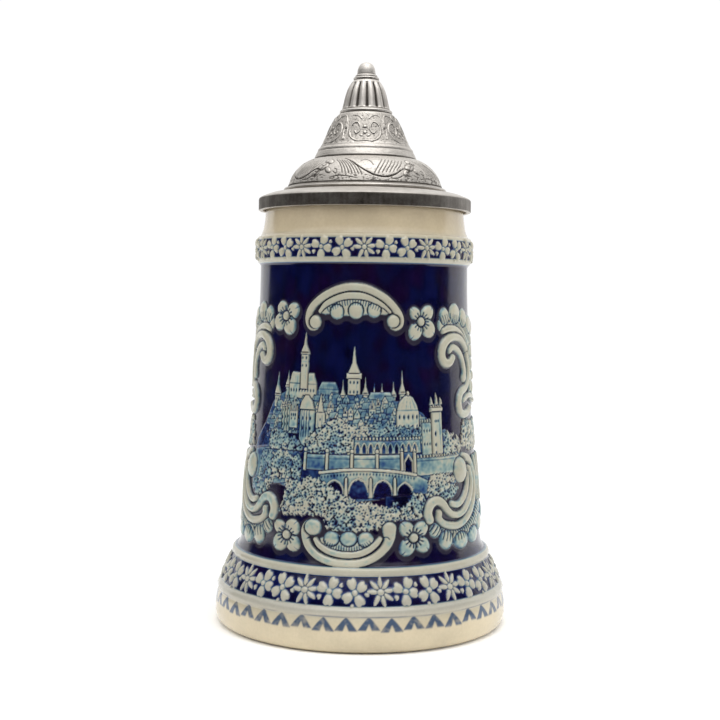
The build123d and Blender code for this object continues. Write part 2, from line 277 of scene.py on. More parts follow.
def tower(t, r, z0, z1, zr, h=0.95, wash=0.12, round_=False, batt=False, wins=3):
    """Square or round tower: walls, eaves and a steep roof up to zr, or battlements."""
    if round_:
        tube([(t, z0), (t, z1)], r * K, h, wash, cut=0.5, smooth=False, flat=1.5)
    else:
        box(t - r, t + r, z0, z1, h, bevel=0.3, wash=wash, cut=0.45)
    cutline([(t + r * 0.45, z0), (t + r * 0.45, z1)], 0.12, 0.16, 0.35, smooth=False)
    if batt:
        box(t - r - 0.6, t + r + 0.6, z1 - 0.4, z1 + 1.4, h + 0.12, bevel=0.22, wash=0.03)
        merlons(t - r - 0.5, t + r + 0.2, z1 + 1.4, 1.5, h + 0.1, 1.0, 0.03)
        cutline([(t - r, z1 - 0.6), (t + r, z1 - 0.6)], 0.13, 0.3, 0.7, smooth=False)
    else:
        box(t - r - 0.5, t + r + 0.5, z1 - 0.5, z1 + 0.35, h + 0.1, bevel=0.18, wash=0.05)
        slab([(t - r - 0.45, z1 + 0.2), (t + r + 0.45, z1 + 0.2), (t + r * 0.35, z1 + (zr - z1) * 0.42), (t + 0.12, zr), (t - 0.12, zr), (t - r * 0.35, z1 + (zr - z1) * 0.42)], h, 0.35, wash * 0.5)
        cutline([(t + 0.2 * r, z1 + 0.6), (t + 0.08, zr - 0.8)], 0.1, 0.14, 0.3, smooth=False)
    for i in range(wins):
        z = z1 - 1.7 - i * (z1 - z0) / (wins + 0.6)
        if z > z0 + 0.8:
            windows(t - r * 0.42, t + r * 0.42, z, 2 if r > 1.6 else 1, 0.3, 0.6)


def house(t, z, w, hw, hr, wash, h=0.8, side=1, stepped=False):
    """Gable end with a roof slope beside it."""
    slab([(t + side * w, z), (t + side * w * 3.2, z), (t + side * w * 3.1, z + hw), (t + side * w * 2.6, z + hw + hr * 0.9), (t, z + hw + hr), (t, z)], h * 0.78, 0.22, wash + 0.16, 0.25)
    for k in range(3):
        cutline([(t + side * w * (1.3 + 0.6 * k), z + hw + 0.25), (t + side * w * (0.9 + 0.6 * k), z + hw + hr * 0.85)], 0.09, 0.14, 0.4, smooth=False)
    cutline([(t + side * w, z + hw), (t + side * w * 3.1, z + hw)], 0.14, 0.3, 0.7, smooth=False)
    slab([(t - w, z), (t + w, z), (t + w, z + hw), (t, z + hw + hr), (t - w, z + hw)], h, 0.25, wash, 0.3)
    if stepped:
        for u in (-0.75, -0.4, 0, 0.4, 0.75):
            box(t + u * w - 0.28, t + u * w + 0.28, z + hw, z + hw + hr * (1 - abs(u)) + 0.7, h + 0.08, bevel=0.15, wash=0.04, cut=0.2)
    windows(t - w * 0.42, t + w * 0.42, z + hw * 0.55, 2, 0.27, 0.42)
    hole(t, z + hw + hr * 0.3, 0.24, 0.4, 0.8, 0.36)


# hills behind, already washed blue
slab([(-60, 60), (-60, 72), (-52, 79), (-46, 87), (-40, 90), (-30, 93), (-18, 92), (-6, 91), (8, 90), (24, 88), (36, 84), (44, 78), (54, 74), (62, 68), (62, 58), (0, 52)], 0.4, 0.5, 0.5)
for i in range(60):
    t = rng.uniform(-50, 50)
    blob(t, 86 - 0.0045 * t * t + rng.uniform(-6, 2), rng.uniform(0.7, 1.4), rng.uniform(0.7, 1.2), 0.52, wash=rng.uniform(0.25, 0.5), cut=0.2)

# back row: towers and high roofs
tower(-42.6, 1.9, 76, 89.6, 98.0, 0.8, 0.24, wins=3)
tower(-35.4, 1.35, 80, 93.0, 98.6, 0.78, 0.2)
slab([(-34.2, 88), (-34.2, 94.2), (-32.6, 98.2), (-19.8, 97.8), (-18.2, 94.0), (-18.2, 88)], 0.82, 0.3, 0.14)
for t in np.arange(-31.6, -19.4, 1.35):
    cutline([(t, 94.4), (t + 0.25, 97.6)], 0.09, 0.15, 0.3, smooth=False)
cutline([(-34.2, 94.1), (-18.2, 93.9)], 0.18, 0.45, 0.85, smooth=False)
windows(-32.8, -19.6, 91.6, 9, 0.3, 0.75)
tower(-25.2, 2.15, 92, 105.2, 112.8, 0.95, 0.06, wins=0)
windows(-26.3, -24.1, 103.4, 2, 0.34, 0.62, 1.0)
windows(-26.3, -24.1, 100.6, 2, 0.34, 0.62, 1.0)
cutline([(-27.2, 102.0), (-23.2, 102.0)], 0.13, 0.3, 0.6, smooth=False)
slab([(-17.2, 86), (-17.2, 92.4), (-15.6, 94.8), (-8.4, 94.8), (-6.8, 92.4), (-6.8, 86)], 0.6, 0.3, 0.42)
for t in np.arange(-16.4, -7.2, 1.0):
    cutline([(t, 92.6), (t + 0.2, 94.4)], 0.08, 0.12, 0.2, smooth=False)
windows(-15.8, -8.2, 90.2, 7, 0.26, 0.5)
cutline([(-17.2, 92.3), (-6.8, 92.3)], 0.15, 0.35, 0.7, smooth=False)
tower(0.8, 3.0, 86, 97.4, 108.0, 0.98, 0.06, wins=0)
box(-2.9, 4.5, 96.4, 98.2, 1.05, bevel=0.25, wash=0.04)
windows(-1.0, 2.6, 95.0, 3, 0.34, 0.7)
windows(-1.0, 2.6, 91.6, 3, 0.34, 0.7)
for t, z0, z1, zr, r in ((-4.6, 84, 90.0, 96.0, 0.95), (6.4, 84, 91.0, 97.0, 1.05), (10.8, 82, 89.0, 94.8, 0.95), (14.6, 84, 90.6, 94.8, 0.8), (24.9, 82, 91.4, 99.4, 1.2), (20.4, 84, 90.4, 95.4, 0.95)):
    tower(t, r, z0, z1, zr, 0.9, 0.08, wins=2)
slab([(7.6, 84), (7.6, 89.4), (9.0, 91.4), (18.8, 91.4), (20.2, 89.4), (20.2, 84)], 0.62, 0.3, 0.34)
for t in np.arange(8.6, 19.6, 1.1):
    cutline([(t, 89.6), (t + 0.2, 91.2)], 0.08, 0.12, 0.25, smooth=False)
windows(9.0, 19.0, 87.4, 8, 0.26, 0.5)

# rows of houses stepping down the hill
for row, (za, zb, t0, t1, sd) in enumerate(((86.6, 89.0, -44, 34, 1), (83.8, 86.0, -46, 37, 2), (81.0, 83.2, -45, 38, 3), (78.4, 80.4, -44, 40, 4))):
    g = np.random.default_rng(50 + sd)
    t = t0
    while t < t1:
        w = g.uniform(1.0, 1.75)
        drop = 0.0032 * (t + 4) ** 2
        house(t, za - drop + g.uniform(-0.7, 0.5), w, g.uniform(1.6, 2.6), g.uniform(1.6, 2.7), g.uniform(0.04, 0.26), 0.62 + 0.07 * row, 1 if g.uniform() < 0.6 else -1, g.uniform() < 0.2)
        t += w * g.uniform(2.3, 3.3)
# a rotunda, a chapel and a stepped-gable hall among them
slab([(21.6, 77), (21.6, 84.2), (22.8, 87.6), (25.4, 90.0), (28.0, 90.6), (30.6, 89.6), (32.8, 86.8), (33.8, 84.2), (33.8, 77)], 0.92, 0.5, 0.08)
cutline([(21.8, 85.0), (33.6, 85.0)], 0.16, 0.35, 0.7, smooth=False)
for t in (23.8, 26.4, 29.0, 31.4):
    cutline([(t, 85.4), (27.8 + (t - 27.8) * 0.45, 89.6)], 0.12, 0.2, 0.4, smooth=False)
windows(23.2, 32.4, 82.6, 5, 0.42, 1.0)
windows(23.2, 32.4, 79.4, 5, 0.3, 0.5)
blob(27.9, 91.0, 0.55, 0.8, 0.9)
house(-30.6, 77.8, 2.5, 6.2, 4.6, 0.05, 0.98, -1, True)
windows(-31.8, -29.4, 82.6, 3, 0.32, 0.8)
for t in (-37.4, -35.6, -33.9):
    tower(t, 0.75, 76.4, 86.6 - 0.5 * ((t * 3) % 2), 89.4, 0.86, 0.1, wins=3)
# the round bastion with its ribs
tube([(-23.0, 74.6), (-22.8, 83.6)], 3.1, 1.0, 0.06, cut=0.5, smooth=False, flat=1.4)
for u in (-2.6, -1.2, 0.2, 1.6):
    cutline([(-23.0 + u, 75), (-23.0 + u, 84.6)], 0.2, 0.35, 0.65, smooth=False)
slab([(-27.4, 84.6), (-18.6, 84.6), (-19.6, 87.6), (-22.0, 90.0), (-24.2, 90.0), (-26.4, 87.6)], 1.0, 0.5, 0.1)
cutline([(-27.2, 84.7), (-18.8, 84.7)], 0.18, 0.4, 0.85, smooth=False)
for z in (81.6, 78.0):
    windows(-25.0, -20.8, z, 3, 0.3, 0.8, 1.0)
tube([(-15.6, 75), (-15.6, 82.8)], 1.9, 0.95, 0.06, cut=0.45, smooth=False)
cutline([(-16.6, 75), (-16.6, 83)], 0.18, 0.3, 0.5, smooth=False)
cutline([(-14.6, 75), (-14.6, 83)], 0.18, 0.3, 0.5, smooth=False)
spire(-15.6, 84.0, 90.6, 1.7, 0.9, 0.06)
windows(-15.6, -15.6, 81.4, 1, 0.34, 0.75)
# the keep at the right, with its own wall
box(35.2, 41.2, 68.5, 80.6, 0.72, bevel=0.3, wash=0.2)
merlons(35.2, 41.0, 80.6, 1.5, 0.8, 1.0, 0.14)
windows(36.4, 39.6, 77.4, 3, 0.28, 0.6)
windows(36.4, 39.6, 72.6, 3, 0.28, 0.6)
tower(44.2, 3.3, 68.0, 84.6, 0, 1.08, 0.02, batt=True, wins=0)
for z, a, b in ((80.8, 0.34, 0.62), (76.2, 0.5, 1.05), (72.2, 0.5, 0.75), (69.4, 0.5, 0.75)):
    windows(43.0, 45.0 if a < 0.4 else 43.0, z, 3 if a < 0.4 else 1, a, b, 1.0)
for t, zr in ((41.2, 89.6), (44.4, 91.0), (47.4, 89.2)):
    spire(t, 86.6, zr, 0.95, 1.0, 0.03)
house(50.6, 68.6, 1.6, 2.6, 2.6, 0.1, 0.8, 1)

# foliage between the houses and the terraces
foliage([(3, 75.6), (34.6, 76.0), (34.6, 78.6), (24, 79.2), (14, 80.6), (6, 79.8), (0, 77.4)], 0.85, 0.14, 0.34, 1.35, 0.35, 11, dark=0.75)
foliage([(-22.6, 69.6), (1.6, 69.4), (2.0, 75.8), (4.0, 78.4), (-2, 80.6), (-8, 82.6), (-12, 80.4), (-17, 78.2), (-20.6, 75.4), (-23, 72.6)], 1.0, 0.06, 0.42, 1.5, 0.6, 1)
slab([(1.4, 69.4), (1.4, 74.6), (34.0, 75.2), (34.4, 69.6)], 0.66, 0.3, 0.2, 0.4, grad=0.42)
merlons(1.8, 33.4, 74.6, 1.65, 0.8, 0.9, 0.1)
cutline([(1.4, 73.9), (34.2, 74.4)], 0.14, 0.3, 0.75, smooth=False)
for t in np.arange(3.0, 33.5, 3.1):
    slab([(t - 1.0, 69.8), (t + 1.0, 69.8), (t + 1.0, 71.8), (t, 73.2), (t - 1.0, 71.8)], 0.36, 0.3, 0.5, 0.0)
    tube([(t - 1.2, 69.8), (t - 1.15, 71.8), (t, 73.4), (t + 1.15, 71.8), (t + 1.2, 69.8)], 0.28, 0.85, 0.12, cut=0.1)
cutline([(0.8, 69.3), (34.6, 69.4)], 0.3, 0.5, 0.95, smooth=False)

# left slope: trees
slab([(-60, 57.0), (-60, 68.6), (-47, 70.0), (-24.6, 70.6), (-24.6, 58.8), (-40, 57)], 0.5, 0.4, 0.36)
foliage([(-47, 69.4), (-46, 76.0), (-38, 77.4), (-33, 74.4), (-28, 74.6), (-24.4, 71.2), (-24.8, 69.6)], 0.9, 0.12, 0.42, 1.7, 0.5, 3)
cutline([(-50, 69.0), (-40, 69.4), (-25.2, 69.6)], 0.28, 0.5, 0.85)
foliage([(-54, 58.5), (-43, 59.2), (-43, 68.4), (-52, 68.0)], 0.75, 0.22, 0.4, 1.8, 0.4, 4, dark=0.75)
foliage([(-43.4, 58.8), (-43.4, 67.8), (-38, 69.4), (-33, 68.8), (-29.4, 67.6), (-29.0, 62.6), (-31, 59.6), (-36, 58.8)], 0.92, 0.08, 0.42, 1.55, 0.45, 15)
foliage([(-30.4, 58.9), (-30.0, 66.8), (-27.0, 68.6), (-24.6, 67.0), (-24.4, 60.6)], 1.0, 0.03, 0.44, 1.5, 0.5, 16)

# terrace walls and gate posts
slab([(-23.6, 63.4), (-23.8, 68.9), (23.4, 69.2), (23.4, 62.8)], 0.72, 0.3, 0.2, grad=0.42)
cutline([(-23.6, 67.5), (23.2, 67.8)], 0.16, 0.3, 0.6, smooth=False)
for z, off in ((66.2, 0.0), (65.0, 1.3)):
    for t in np.arange(-22 + off, 22, 2.6):
        cutline([(t, z), (t + 1.9, z)], 0.09, 0.10, 0.28, smooth=False)
for t in (-22.6, -11.4, 0.4, 12.2):
    box(t - 0.75, t + 0.75, 63.0, 69.9, 0.98, bevel=0.25, wash=0.05)
    blob(t, 70.4, 0.75, 0.75, 0.95)
box(24.9, 30.0, 61.6, 70.0, 0.5, wash=0.46)
slab([(25.6, 61.8), (29.4, 61.8), (29.4, 66.6), (27.5, 68.8), (25.6, 66.6)], 0.28, 0.3, 0.75, 0.0)
tube([(25.4, 61.8), (25.4, 66.6), (27.5, 69.0), (29.6, 66.6), (29.6, 61.8)], 0.35, 0.9, 0.06, cut=0.15, smooth=False)
box(31.0, 60.0, 61.4, 68.0, 0.66, wash=0.26, bevel=0.3)
merlons(32.0, 59.0, 68.0, 1.8, 0.8, 0.8, 0.14)
cutline([(31, 66.6), (60, 66.8)], 0.17, 0.35, 0.6, smooth=False)
for t, z0, z1 in ((24.1, 62.2, 70.4), (30.7, 59.8, 70.0)):
    pinnacle(t, z0, z1, z1 + 1.4, 0.8, 1.02, 0.03)

# an arched stone bridge, fading to blue at the foot
slab([(-15.0, 55.0), (-14.4, 62.6), (-2, 63.8), (8, 64.0), (20, 63.4), (30.6, 62.0), (37.6, 59.6), (37.6, 54.6), (0, 54.0)], 0.66, 0.35, 0.12, 0.45, grad=0.62)
tube([(-14.6, 62.5), (-3, 63.7), (8, 63.9), (20, 63.3), (31, 61.8)], 0.55, 0.98, 0.0, cut=0.3)
for t in np.arange(-13.6, 30.0, 1.5):
    hole(t, 62.0 - 0.0035 * (t - 7) ** 2 + 0.35, 0.26, 0.45, 0.9, 0.5)
for t, w, z in ((-7.4, 4.6, 59.4), (3.6, 5.0, 60.0), (14.8, 4.8, 59.6), (25.2, 4.0, 58.6)):
    slab([(t - w, 53.6), (t + w, 53.6), (t + w * 0.96, 55.8), (t + w * 0.62, z - 0.8), (t, z + 0.2), (t - w * 0.62, z - 0.8), (t - w * 0.96, 55.8)], 0.22, 0.4, 0.72, 0.0)
    tube([(t - w, 54.4), (t - w * 0.9, 56.8), (t - w * 0.55, z - 0.3), (t, z + 0.7), (t + w * 0.55, z - 0.3), (t + w * 0.9, 56.8), (t + w, 54.4)], 0.36, 0.85, 0.06, cut=0.1)
for t in (-2.0, 9.2, 20.4):
    slab([(t - 0.9, 54.0), (t + 0.9, 54.0), (t + 0.7, 60.6), (t, 61.4), (t - 0.7, 60.6)], 0.95, 0.25, 0.08)
box(16, 37.4, 45.5, 54.6, 0.35, wash=0.6, bevel=0.4)
for z in (52.6, 50.6, 48.4):
    cutline([(18, z), (24, z + 0.5), (36, z)], 0.14, 0.12, 0.15)

# bushes and blossom in front
foliage([(-50, 50.5), (-47, 58.0), (-41, 59.0), (-33, 59.2), (-33, 55), (-34, 50.5), (-37, 47), (-31, 46.4), (-24, 46.8), (-21, 47.2), (-12, 47), (-11, 43),
         (-1, 42.6), (13, 43.4), (14, 49.0), (8, 50.6), (2.0, 53.0), (-3.5, 55.2), (-9, 57.6), (-15, 60.2), (-20, 60.9), (-25, 59.4), (-33, 59.2), (-40, 59)], 1.05, 0.03, 0.44, 1.5, 0.65, 5)
foliage([(4.2, 49), (5.5, 52.8), (9.6, 52.4), (11.4, 49)], 1.0, 0.03, 0.42, 1.4, 0.4, 6)
foliage([(-12, 44.5), (-10.4, 42.6), (-1, 41.9), (12, 42.8), (17.5, 45.4), (16, 50.6), (10, 51.8), (0, 52.2), (-8, 52.8)], 1.02, 0.03, 0.44, 1.5, 0.5, 17)
foliage([(13.6, 45.6), (15, 50.2), (18.6, 50.6), (20, 52.4), (22, 52.2), (23.6, 46.0)], 1.05, 0.03, 0.42, 1.45, 0.6, 7)
foliage([(22.8, 46.0), (23.6, 50), (27, 52), (29, 55.6), (31, 55.4), (34.6, 54.4), (36, 50.6), (33.6, 46.0)], 1.05, 0.04, 0.42, 1.45, 0.6, 8)
foliage([(36.6, 53.8), (38, 61.0), (45, 61.6), (53.5, 61.2), (55.6, 57), (58.4, 55.2), (52, 52.0), (47, 52.4)], 1.0, 0.02, 0.44, 1.55, 0.35, 9)
foliage([(48.4, 68.6), (49.0, 76.0), (51, 77.4), (53, 75.4), (57, 75.8), (60.6, 74.2), (62.4, 70.6), (61, 68.6)], 0.9, 0.12, 0.46, 1.9, 0.4, 10)
foliage([(62, 69.5), (64, 74), (67, 79.6), (72, 80.6), (78, 79), (84, 79.5), (92, 80), (92, 69), (74, 68.6)], 0.9, 0.1, 0.5, 2.4, 0.45, 12)
foliage([(-63, 69.6), (-66, 74), (-69, 79.6), (-74, 80.6), (-80, 79), (-86, 79.5), (-92, 80), (-92, 69), (-76, 68.6)], 0.9, 0.1, 0.5, 2.4, 0.45, 13)
foliage([(-59.4, 53.2), (-60, 57.4), (-52, 58.6), (-48.6, 57), (-48.6, 52.6), (-53.6, 51.8)], 0.8, 0.2, 0.45, 2.0, 0.3, 14)
SCENE = (H > 0.12).astype(np.float32)
HS = H.copy()


def flower(c, petals, r=1.7, n=15, h=1.3):
    """Round-eyed flower: petals are (angle, length, width) about its centre."""
    ct, cz = c
    for a, L, wd in petals:
        x, y = math.cos(math.radians(a)), math.sin(math.radians(a))
        o = L * 0.56
        blob(ct + x * o / K, cz + y * o, L * 0.5, wd * 0.57, h, a, 0.0, 0.5, 0.12)
        cutline([(ct + x * L * 0.82 / K, cz + y * L * 0.82), (ct + x * L * 1.08 / K, cz + y * L * 1.08)], [0.1, 0.3], 0.35, 0.0, smooth=False)
    w, T, Z = win(ct - 4.2 / K, ct + 4.2 / K, cz - 4.2, cz + 4.2, 0)
    x, y = (T - ct) * K, Z - cz
    rr, an = np.hypot(x, y), np.arctan2(y, x)
    ray = np.clip(0.5 + 0.5 * np.cos(an * n), 0, 1) ** 3
    f = ray * sm(r + 0.2, r + 0.6, rr) * (1 - sm(r + 1.5, r + 2.3, rr))
    f = np.maximum(f, sm(r - 0.1, r + 0.2, rr) * (1 - sm(r + 0.35, r + 0.8, rr)) * 0.85)
    H[w] = np.maximum(H[w] - 0.75 * f, 0.05)
    W[w] = np.maximum(W[w], 0.8 * f)
    blob(ct, cz, r, r, h + 0.1, cut=0.3)


FL1 = ((-38.6, 118.4), [(134, 6.2, 5.0), (28, 6.8, 5.2), (-62, 7.0, 5.8), (-150, 7.4, 5.6)])
FL2 = ((35.5, 116.9), [(130, 6.0, 4.0), (44, 7.2, 4.8), (-36, 7.4, 5.6), (-124, 7.2, 5.0)])
FL3 = ((-30.4, 39.2), [(142, 6.6, 4.2), (52, 6.2, 5.4), (-46, 6.6, 5.0), (-134, 6.9, 5.6)])
FL4 = ((29.2, 39.4), [(128, 6.6, 4.6), (46, 6.9, 4.6), (-40, 7.0, 4.8), (-126, 7.0, 5.0)])
for f in (FL1, FL2, FL3, FL4):
    flower(*f)

# ---- cartouches, top and bottom ----
slab([(-17.6, 119.6), (-14.6, 119.0), (-12.0, 119.4), (-8, 118.6), (1, 118.9), (10, 119.3), (13.4, 119.4), (16.6, 119.2), (19.2, 120.2), (16, 123.2), (10, 125.3), (1, 126.4), (-8, 125.4), (-14, 123.2)], 0.95, 0.5, 0.0, 0.5)
for t, z, r in ((-8.4, 120.2, 2.75), (1.2, 120.7, 2.95), (10.4, 120.9, 2.7)):
    blob(t, z, r, r, 1.2, cut=0.3)
ticks([(-14.5, 122.0), (-8, 124.0), (0, 124.9), (8, 124.2), (15.0, 122.2)], 22, -2.3, 0, 0.2, 0.5, 0.8)
tube([(-17.4, 120.3), (-14.6, 122.6), (-11, 124.3), (-6, 125.7), (0, 126.2), (6, 125.8), (11, 124.5), (15.4, 122.6), (18.4, 120.4)], [0.7, 1.1, 1.35, 1.5, 1.55, 1.5, 1.35, 1.1, 0.7], 1.3, cut=0.3, flat=1.8)
tube([(-19.6, 114.9), (-22.0, 114.8), (-23.6, 116.6), (-23.4, 119.6), (-21.2, 122.3), (-17, 124.9), (-12, 127.0), (-6, 128.6), (0, 129.15), (6, 128.6), (11.5, 127.0), (16.8, 124.6), (21.2, 121.4), (23.7, 118.4), (23.6, 115.9), (21.6, 115.0), (19.9, 115.4)],
     [1.3, 1.45, 1.5, 1.5, 1.5, 1.5, 1.5, 1.5, 1.5, 1.5, 1.5, 1.5, 1.5, 1.5, 1.45, 1.4, 1.3], 1.4, cut=0.5, flat=1.8)
blob(-20.0, 116.4, 2.45, 2.5, 1.55, cut=0.25)
blob(20.3, 117.0, 2.5, 2.5, 1.55, cut=0.25)
slab([(-13.4, 39.2), (-10.6, 40.0), (-7.6, 40.6), (0, 40.6), (7.2, 40.4), (10.4, 39.8), (12.0, 38.4), (8, 35.0), (0, 33.8), (-8, 34.6), (-12.6, 37.0)], 0.95, 0.5, 0.0, 0.5)
for t, z, r in ((-8.0, 39.2, 2.7), (-0.4, 39.3, 2.9), (7.2, 39.1, 2.7)):
    blob(t, z, r, 2.7, 1.2, cut=0.3)
ticks([(-12, 36.9), (-7, 35.4), (0, 35.0), (6, 35.6), (10.5, 37.6)], 20, 2.0, 0, 0.19, 0.5, 0.75)
tube([(-15.4, 38.7), (-13.4, 36.7), (-9.5, 34.9), (-4.5, 33.9), (0, 33.7), (4.5, 34.2), (8.6, 35.7), (11.8, 37.8), (13.4, 39.4)], [0.8, 1.1, 1.2, 1.25, 1.25, 1.25, 1.2, 1.1, 0.9], 1.3, cut=0.3, flat=1.8)
tube([(-17.0, 44.6), (-19.6, 43.6), (-20.6, 40.8), (-19.0, 36.6), (-14.6, 33.2), (-8, 31.3), (-1, 30.8), (5, 31.2), (10.5, 32.8), (15.0, 35.6), (17.6, 39.0), (17.8, 43.0)],
     [1.3, 1.45, 1.45, 1.45, 1.45, 1.45, 1.45, 1.45, 1.45, 1.5, 1.8, 2.5], 1.4, cut=0.5, flat=1.8)
blob(-16.9, 42.9, 3.1, 3.0, 1.6, cut=0.25)
cutline([(-18.9, 38.9), (-17.2, 39.9), (-15.2, 39.7)], 0.24, 0.7, 0.7)
cutline([(15.0, 39.9), (16.4, 40.2), (17.6, 39.4)], 0.2, 0.6, 0.6)


def sides(fn):
    """Right-hand frame as drawn, and its mirror image on the left."""
    fn(lambda pts: [(t, z) for t, z in pts], 1)
    fn(lambda pts: [(-2.0 - t, z) for t, z in pts], -1)


def upper_frame(m, s):
    # shell fringe
    tube(m([(49.6, 115.6), (55, 116.6), (61, 116.6), (68, 115.2), (74.5, 112.4), (81, 109.6), (92, 109.2)]), [2.4, 2.9, 3.1, 3.1, 3.0, 2.8, 2.8], 0.95, 0.0, cut=0.5, flat=2.2)
    for t, z, a, b in ((51.6, 118.8, 2.9, 3.2), (61.0, 119.8, 4.0, 3.9), (70.5, 118.2, 4.0, 3.6), (80.0, 115.8, 4.2, 3.6), (89, 114.6, 4.0, 3.6)):
        (t, z), = m([(t, z)])
        blob(t, z, a, b, 1.2, cut=0.28)
    edge = [(49, 115.9), (55, 116.7), (60, 116.3), (65, 115.3), (70, 113.7), (74.5, 111.2), (80, 108.6), (86, 108)]
    ticks(m(edge), 27, 3.3 * s, 14 * s, 0.24, 0.6, 0.85)
    tube(m([(50.4, 113.6), (55, 114.4), (60, 114.1), (65, 112.8), (70, 110.2), (74.4, 106.6), (77.4, 102.0), (78.6, 97.0), (78, 92), (80, 88), (86, 86.6), (92, 86.6)]), [1.25, 1.4, 1.45, 1.5, 1.5, 1.5, 1.5, 1.5, 1.3, 1.2, 1.2, 1.2], 1.3, cut=0.45)
    # inner band, then the great curl over it
    tube(m([(55.2, 106.2), (57.6, 107.4), (61.4, 106.8), (65.4, 104.8), (68.4, 101.9), (70.0, 98.6), (69.4, 95.9)]), [1.2, 1.35, 1.4, 1.45, 1.5, 1.7, 2.0], 1.2, cut=0.4)
    tube(m([(73.0, 105.6), (70.6, 108.0), (66.4, 110.2), (61.4, 111.2), (56.4, 111.0), (51.8, 109.4), (49.2, 106.6), (49.2, 103.7), (51.6, 101.8), (55.0, 101.8), (57.5, 103.6)]),
         [1.3, 1.4, 1.5, 1.6, 1.75, 1.9, 1.95, 1.9, 1.8, 1.65, 1.5], 1.5, cut=0.45)
    # tail that hooks back below
    tube(m([(73.4, 104.6), (75.6, 101.4), (76.2, 98.0), (74.4, 94.4), (70.6, 91.9), (66.0, 90.8), (63.2, 88.6), (62.6, 85.8), (64.2, 83.2), (68.0, 82.2), (72.4, 82.6), (77.0, 84.2)]),
         [1.2, 1.3, 1.4, 1.4, 1.5, 1.7, 1.8, 1.85, 1.8, 1.7, 1.5, 1.2], 1.4, cut=0.45)
    for i in range(4):
        tube(m([(81.5 + i * 2.9, 104.6 - i * 0.4), (80.4 + i * 3.3, 107.0)]), [0.9, 1.2], 1.0, cut=0.4)
    for a, o in ((0, 0), (60, 1), (-60, 2)):
        (t, z), = m([(90 - 6.6 * math.cos(math.radians(a)) / K, 96.0 + 5.2 * math.sin(math.radians(a)))])
        blob(t, z, 3.0, 2.1, 1.15, -a * s, cut=0.45)
    (t, z), = m([(90, 96.0)])
    blob(t, z, 2.2, 2.2, 1.3, cut=0.4)
    tube(m([(68.0, 87.4), (73, 88.6), (79, 89.0), (84, 87.8)]), [1.1, 1.25, 1.2, 1.0], 1.15, cut=0.4)


def lower_frame(m, s):
    tube(m([(40.4, 42.4), (45.5, 39.6), (52, 38.0), (60, 37.8), (68, 39.8), (74.4, 43.0), (79.4, 48.0), (82, 54), (83, 60)]), [1.7, 2.5, 2.9, 3.0, 3.0, 3.0, 2.9, 2.6, 2.0], 0.95, 0.0, cut=0.5, flat=2.2)
    for t, z, a, b in ((40.8, 41.2, 2.5, 2.6), (47.2, 37.4, 3.3, 3.6), (58.0, 36.3, 4.6, 3.3), (70.0, 37.2, 4.6, 3.4), (81.0, 40.6, 4.4, 3.6), (90.0, 44.0, 4.0, 3.8)):
        (t, z), = m([(t, z)])
        blob(t, z, a, b, 1.15, cut=0.28)
    ticks(m([(39.6, 43.8), (43, 42.0), (47, 40.6), (52, 39.9), (58, 40.2), (64, 41.6), (69, 43.8), (73, 46.6), (76.6, 50.4), (79, 55)]), 28, -3.4 * s, -6 * s, 0.27, 0.7, 0.95)
    # outer, middle and inner bands of the great C-scroll
    tube(m([(43.1, 47.4), (42.9, 45.6), (45.2, 43.6), (49.4, 42.4), (54.6, 42.0), (60.0, 42.9), (65.4, 45.0), (70.2, 48.4), (73.4, 53.0), (74.4, 58.0), (72.6, 62.6), (68.6, 65.8), (63.6, 66.6)]),
         [1.35, 1.4, 1.45, 1.5, 1.55, 1.55, 1.55, 1.5, 1.45, 1.4, 1.45, 1.6, 1.7], 1.35, cut=0.45)
    tube(m([(37.6, 45.3), (36.7, 48.0), (38.4, 50.9), (41.8, 52.0), (45.4, 50.8), (48.2, 48.2), (51.4, 46.4), (55.6, 45.8), (60.4, 46.8), (65.0, 49.6), (68.6, 53.6), (70.2, 58.2), (68.4, 62.0)]),
         [1.75, 1.85, 1.9, 1.8, 1.65, 1.5, 1.4, 1.35, 1.35, 1.3, 1.3, 1.3, 1.3], 1.5, cut=0.45)
    tube(m([(51.6, 50.2), (55.4, 49.5), (59.4, 50.6), (63.2, 53.2), (65.6, 56.8), (66.0, 60.4)]), [1.25, 1.35, 1.35, 1.3, 1.2, 1.1], 1.25, cut=0.4)
    (t, z), = m([(60.2, 62.0)])
    blob(t, z, 4.4, 4.9, 1.75, cut=0.5)
    cutline(m([(62.6, 58.4), (64.6, 59.4), (65.6, 61.4), (64.4, 63.0)]), 0.28, 0.7, 0.5)
    (t, z), = m([(60.2, 61.0)])
    for i in range(3):
        tube(m([(78 + i * 4.4, 50 - i * 0.5), (79.6 + i * 4.4, 58), (77.6 + i * 4.6, 65.5)]), [1.0, 1.5, 1.0], 1.05, cut=0.4)


sides(upper_frame)
sides(lower_frame)

# the back repeats the front's frame, mirrored at each side
jj = np.where(np.abs(TT) > 90)[0]
src = np.sign(TT[jj]) * 180 - TT[jj]
js = np.clip(((src + 180) / DT).astype(int), 0, len(TT) - 1)
H[:, jj] = H[:, js]
W[:, jj] = W[:, js]
panel = ((ZZ > 29.6) & (ZZ < 137))[:, None]
H *= panel
W *= panel


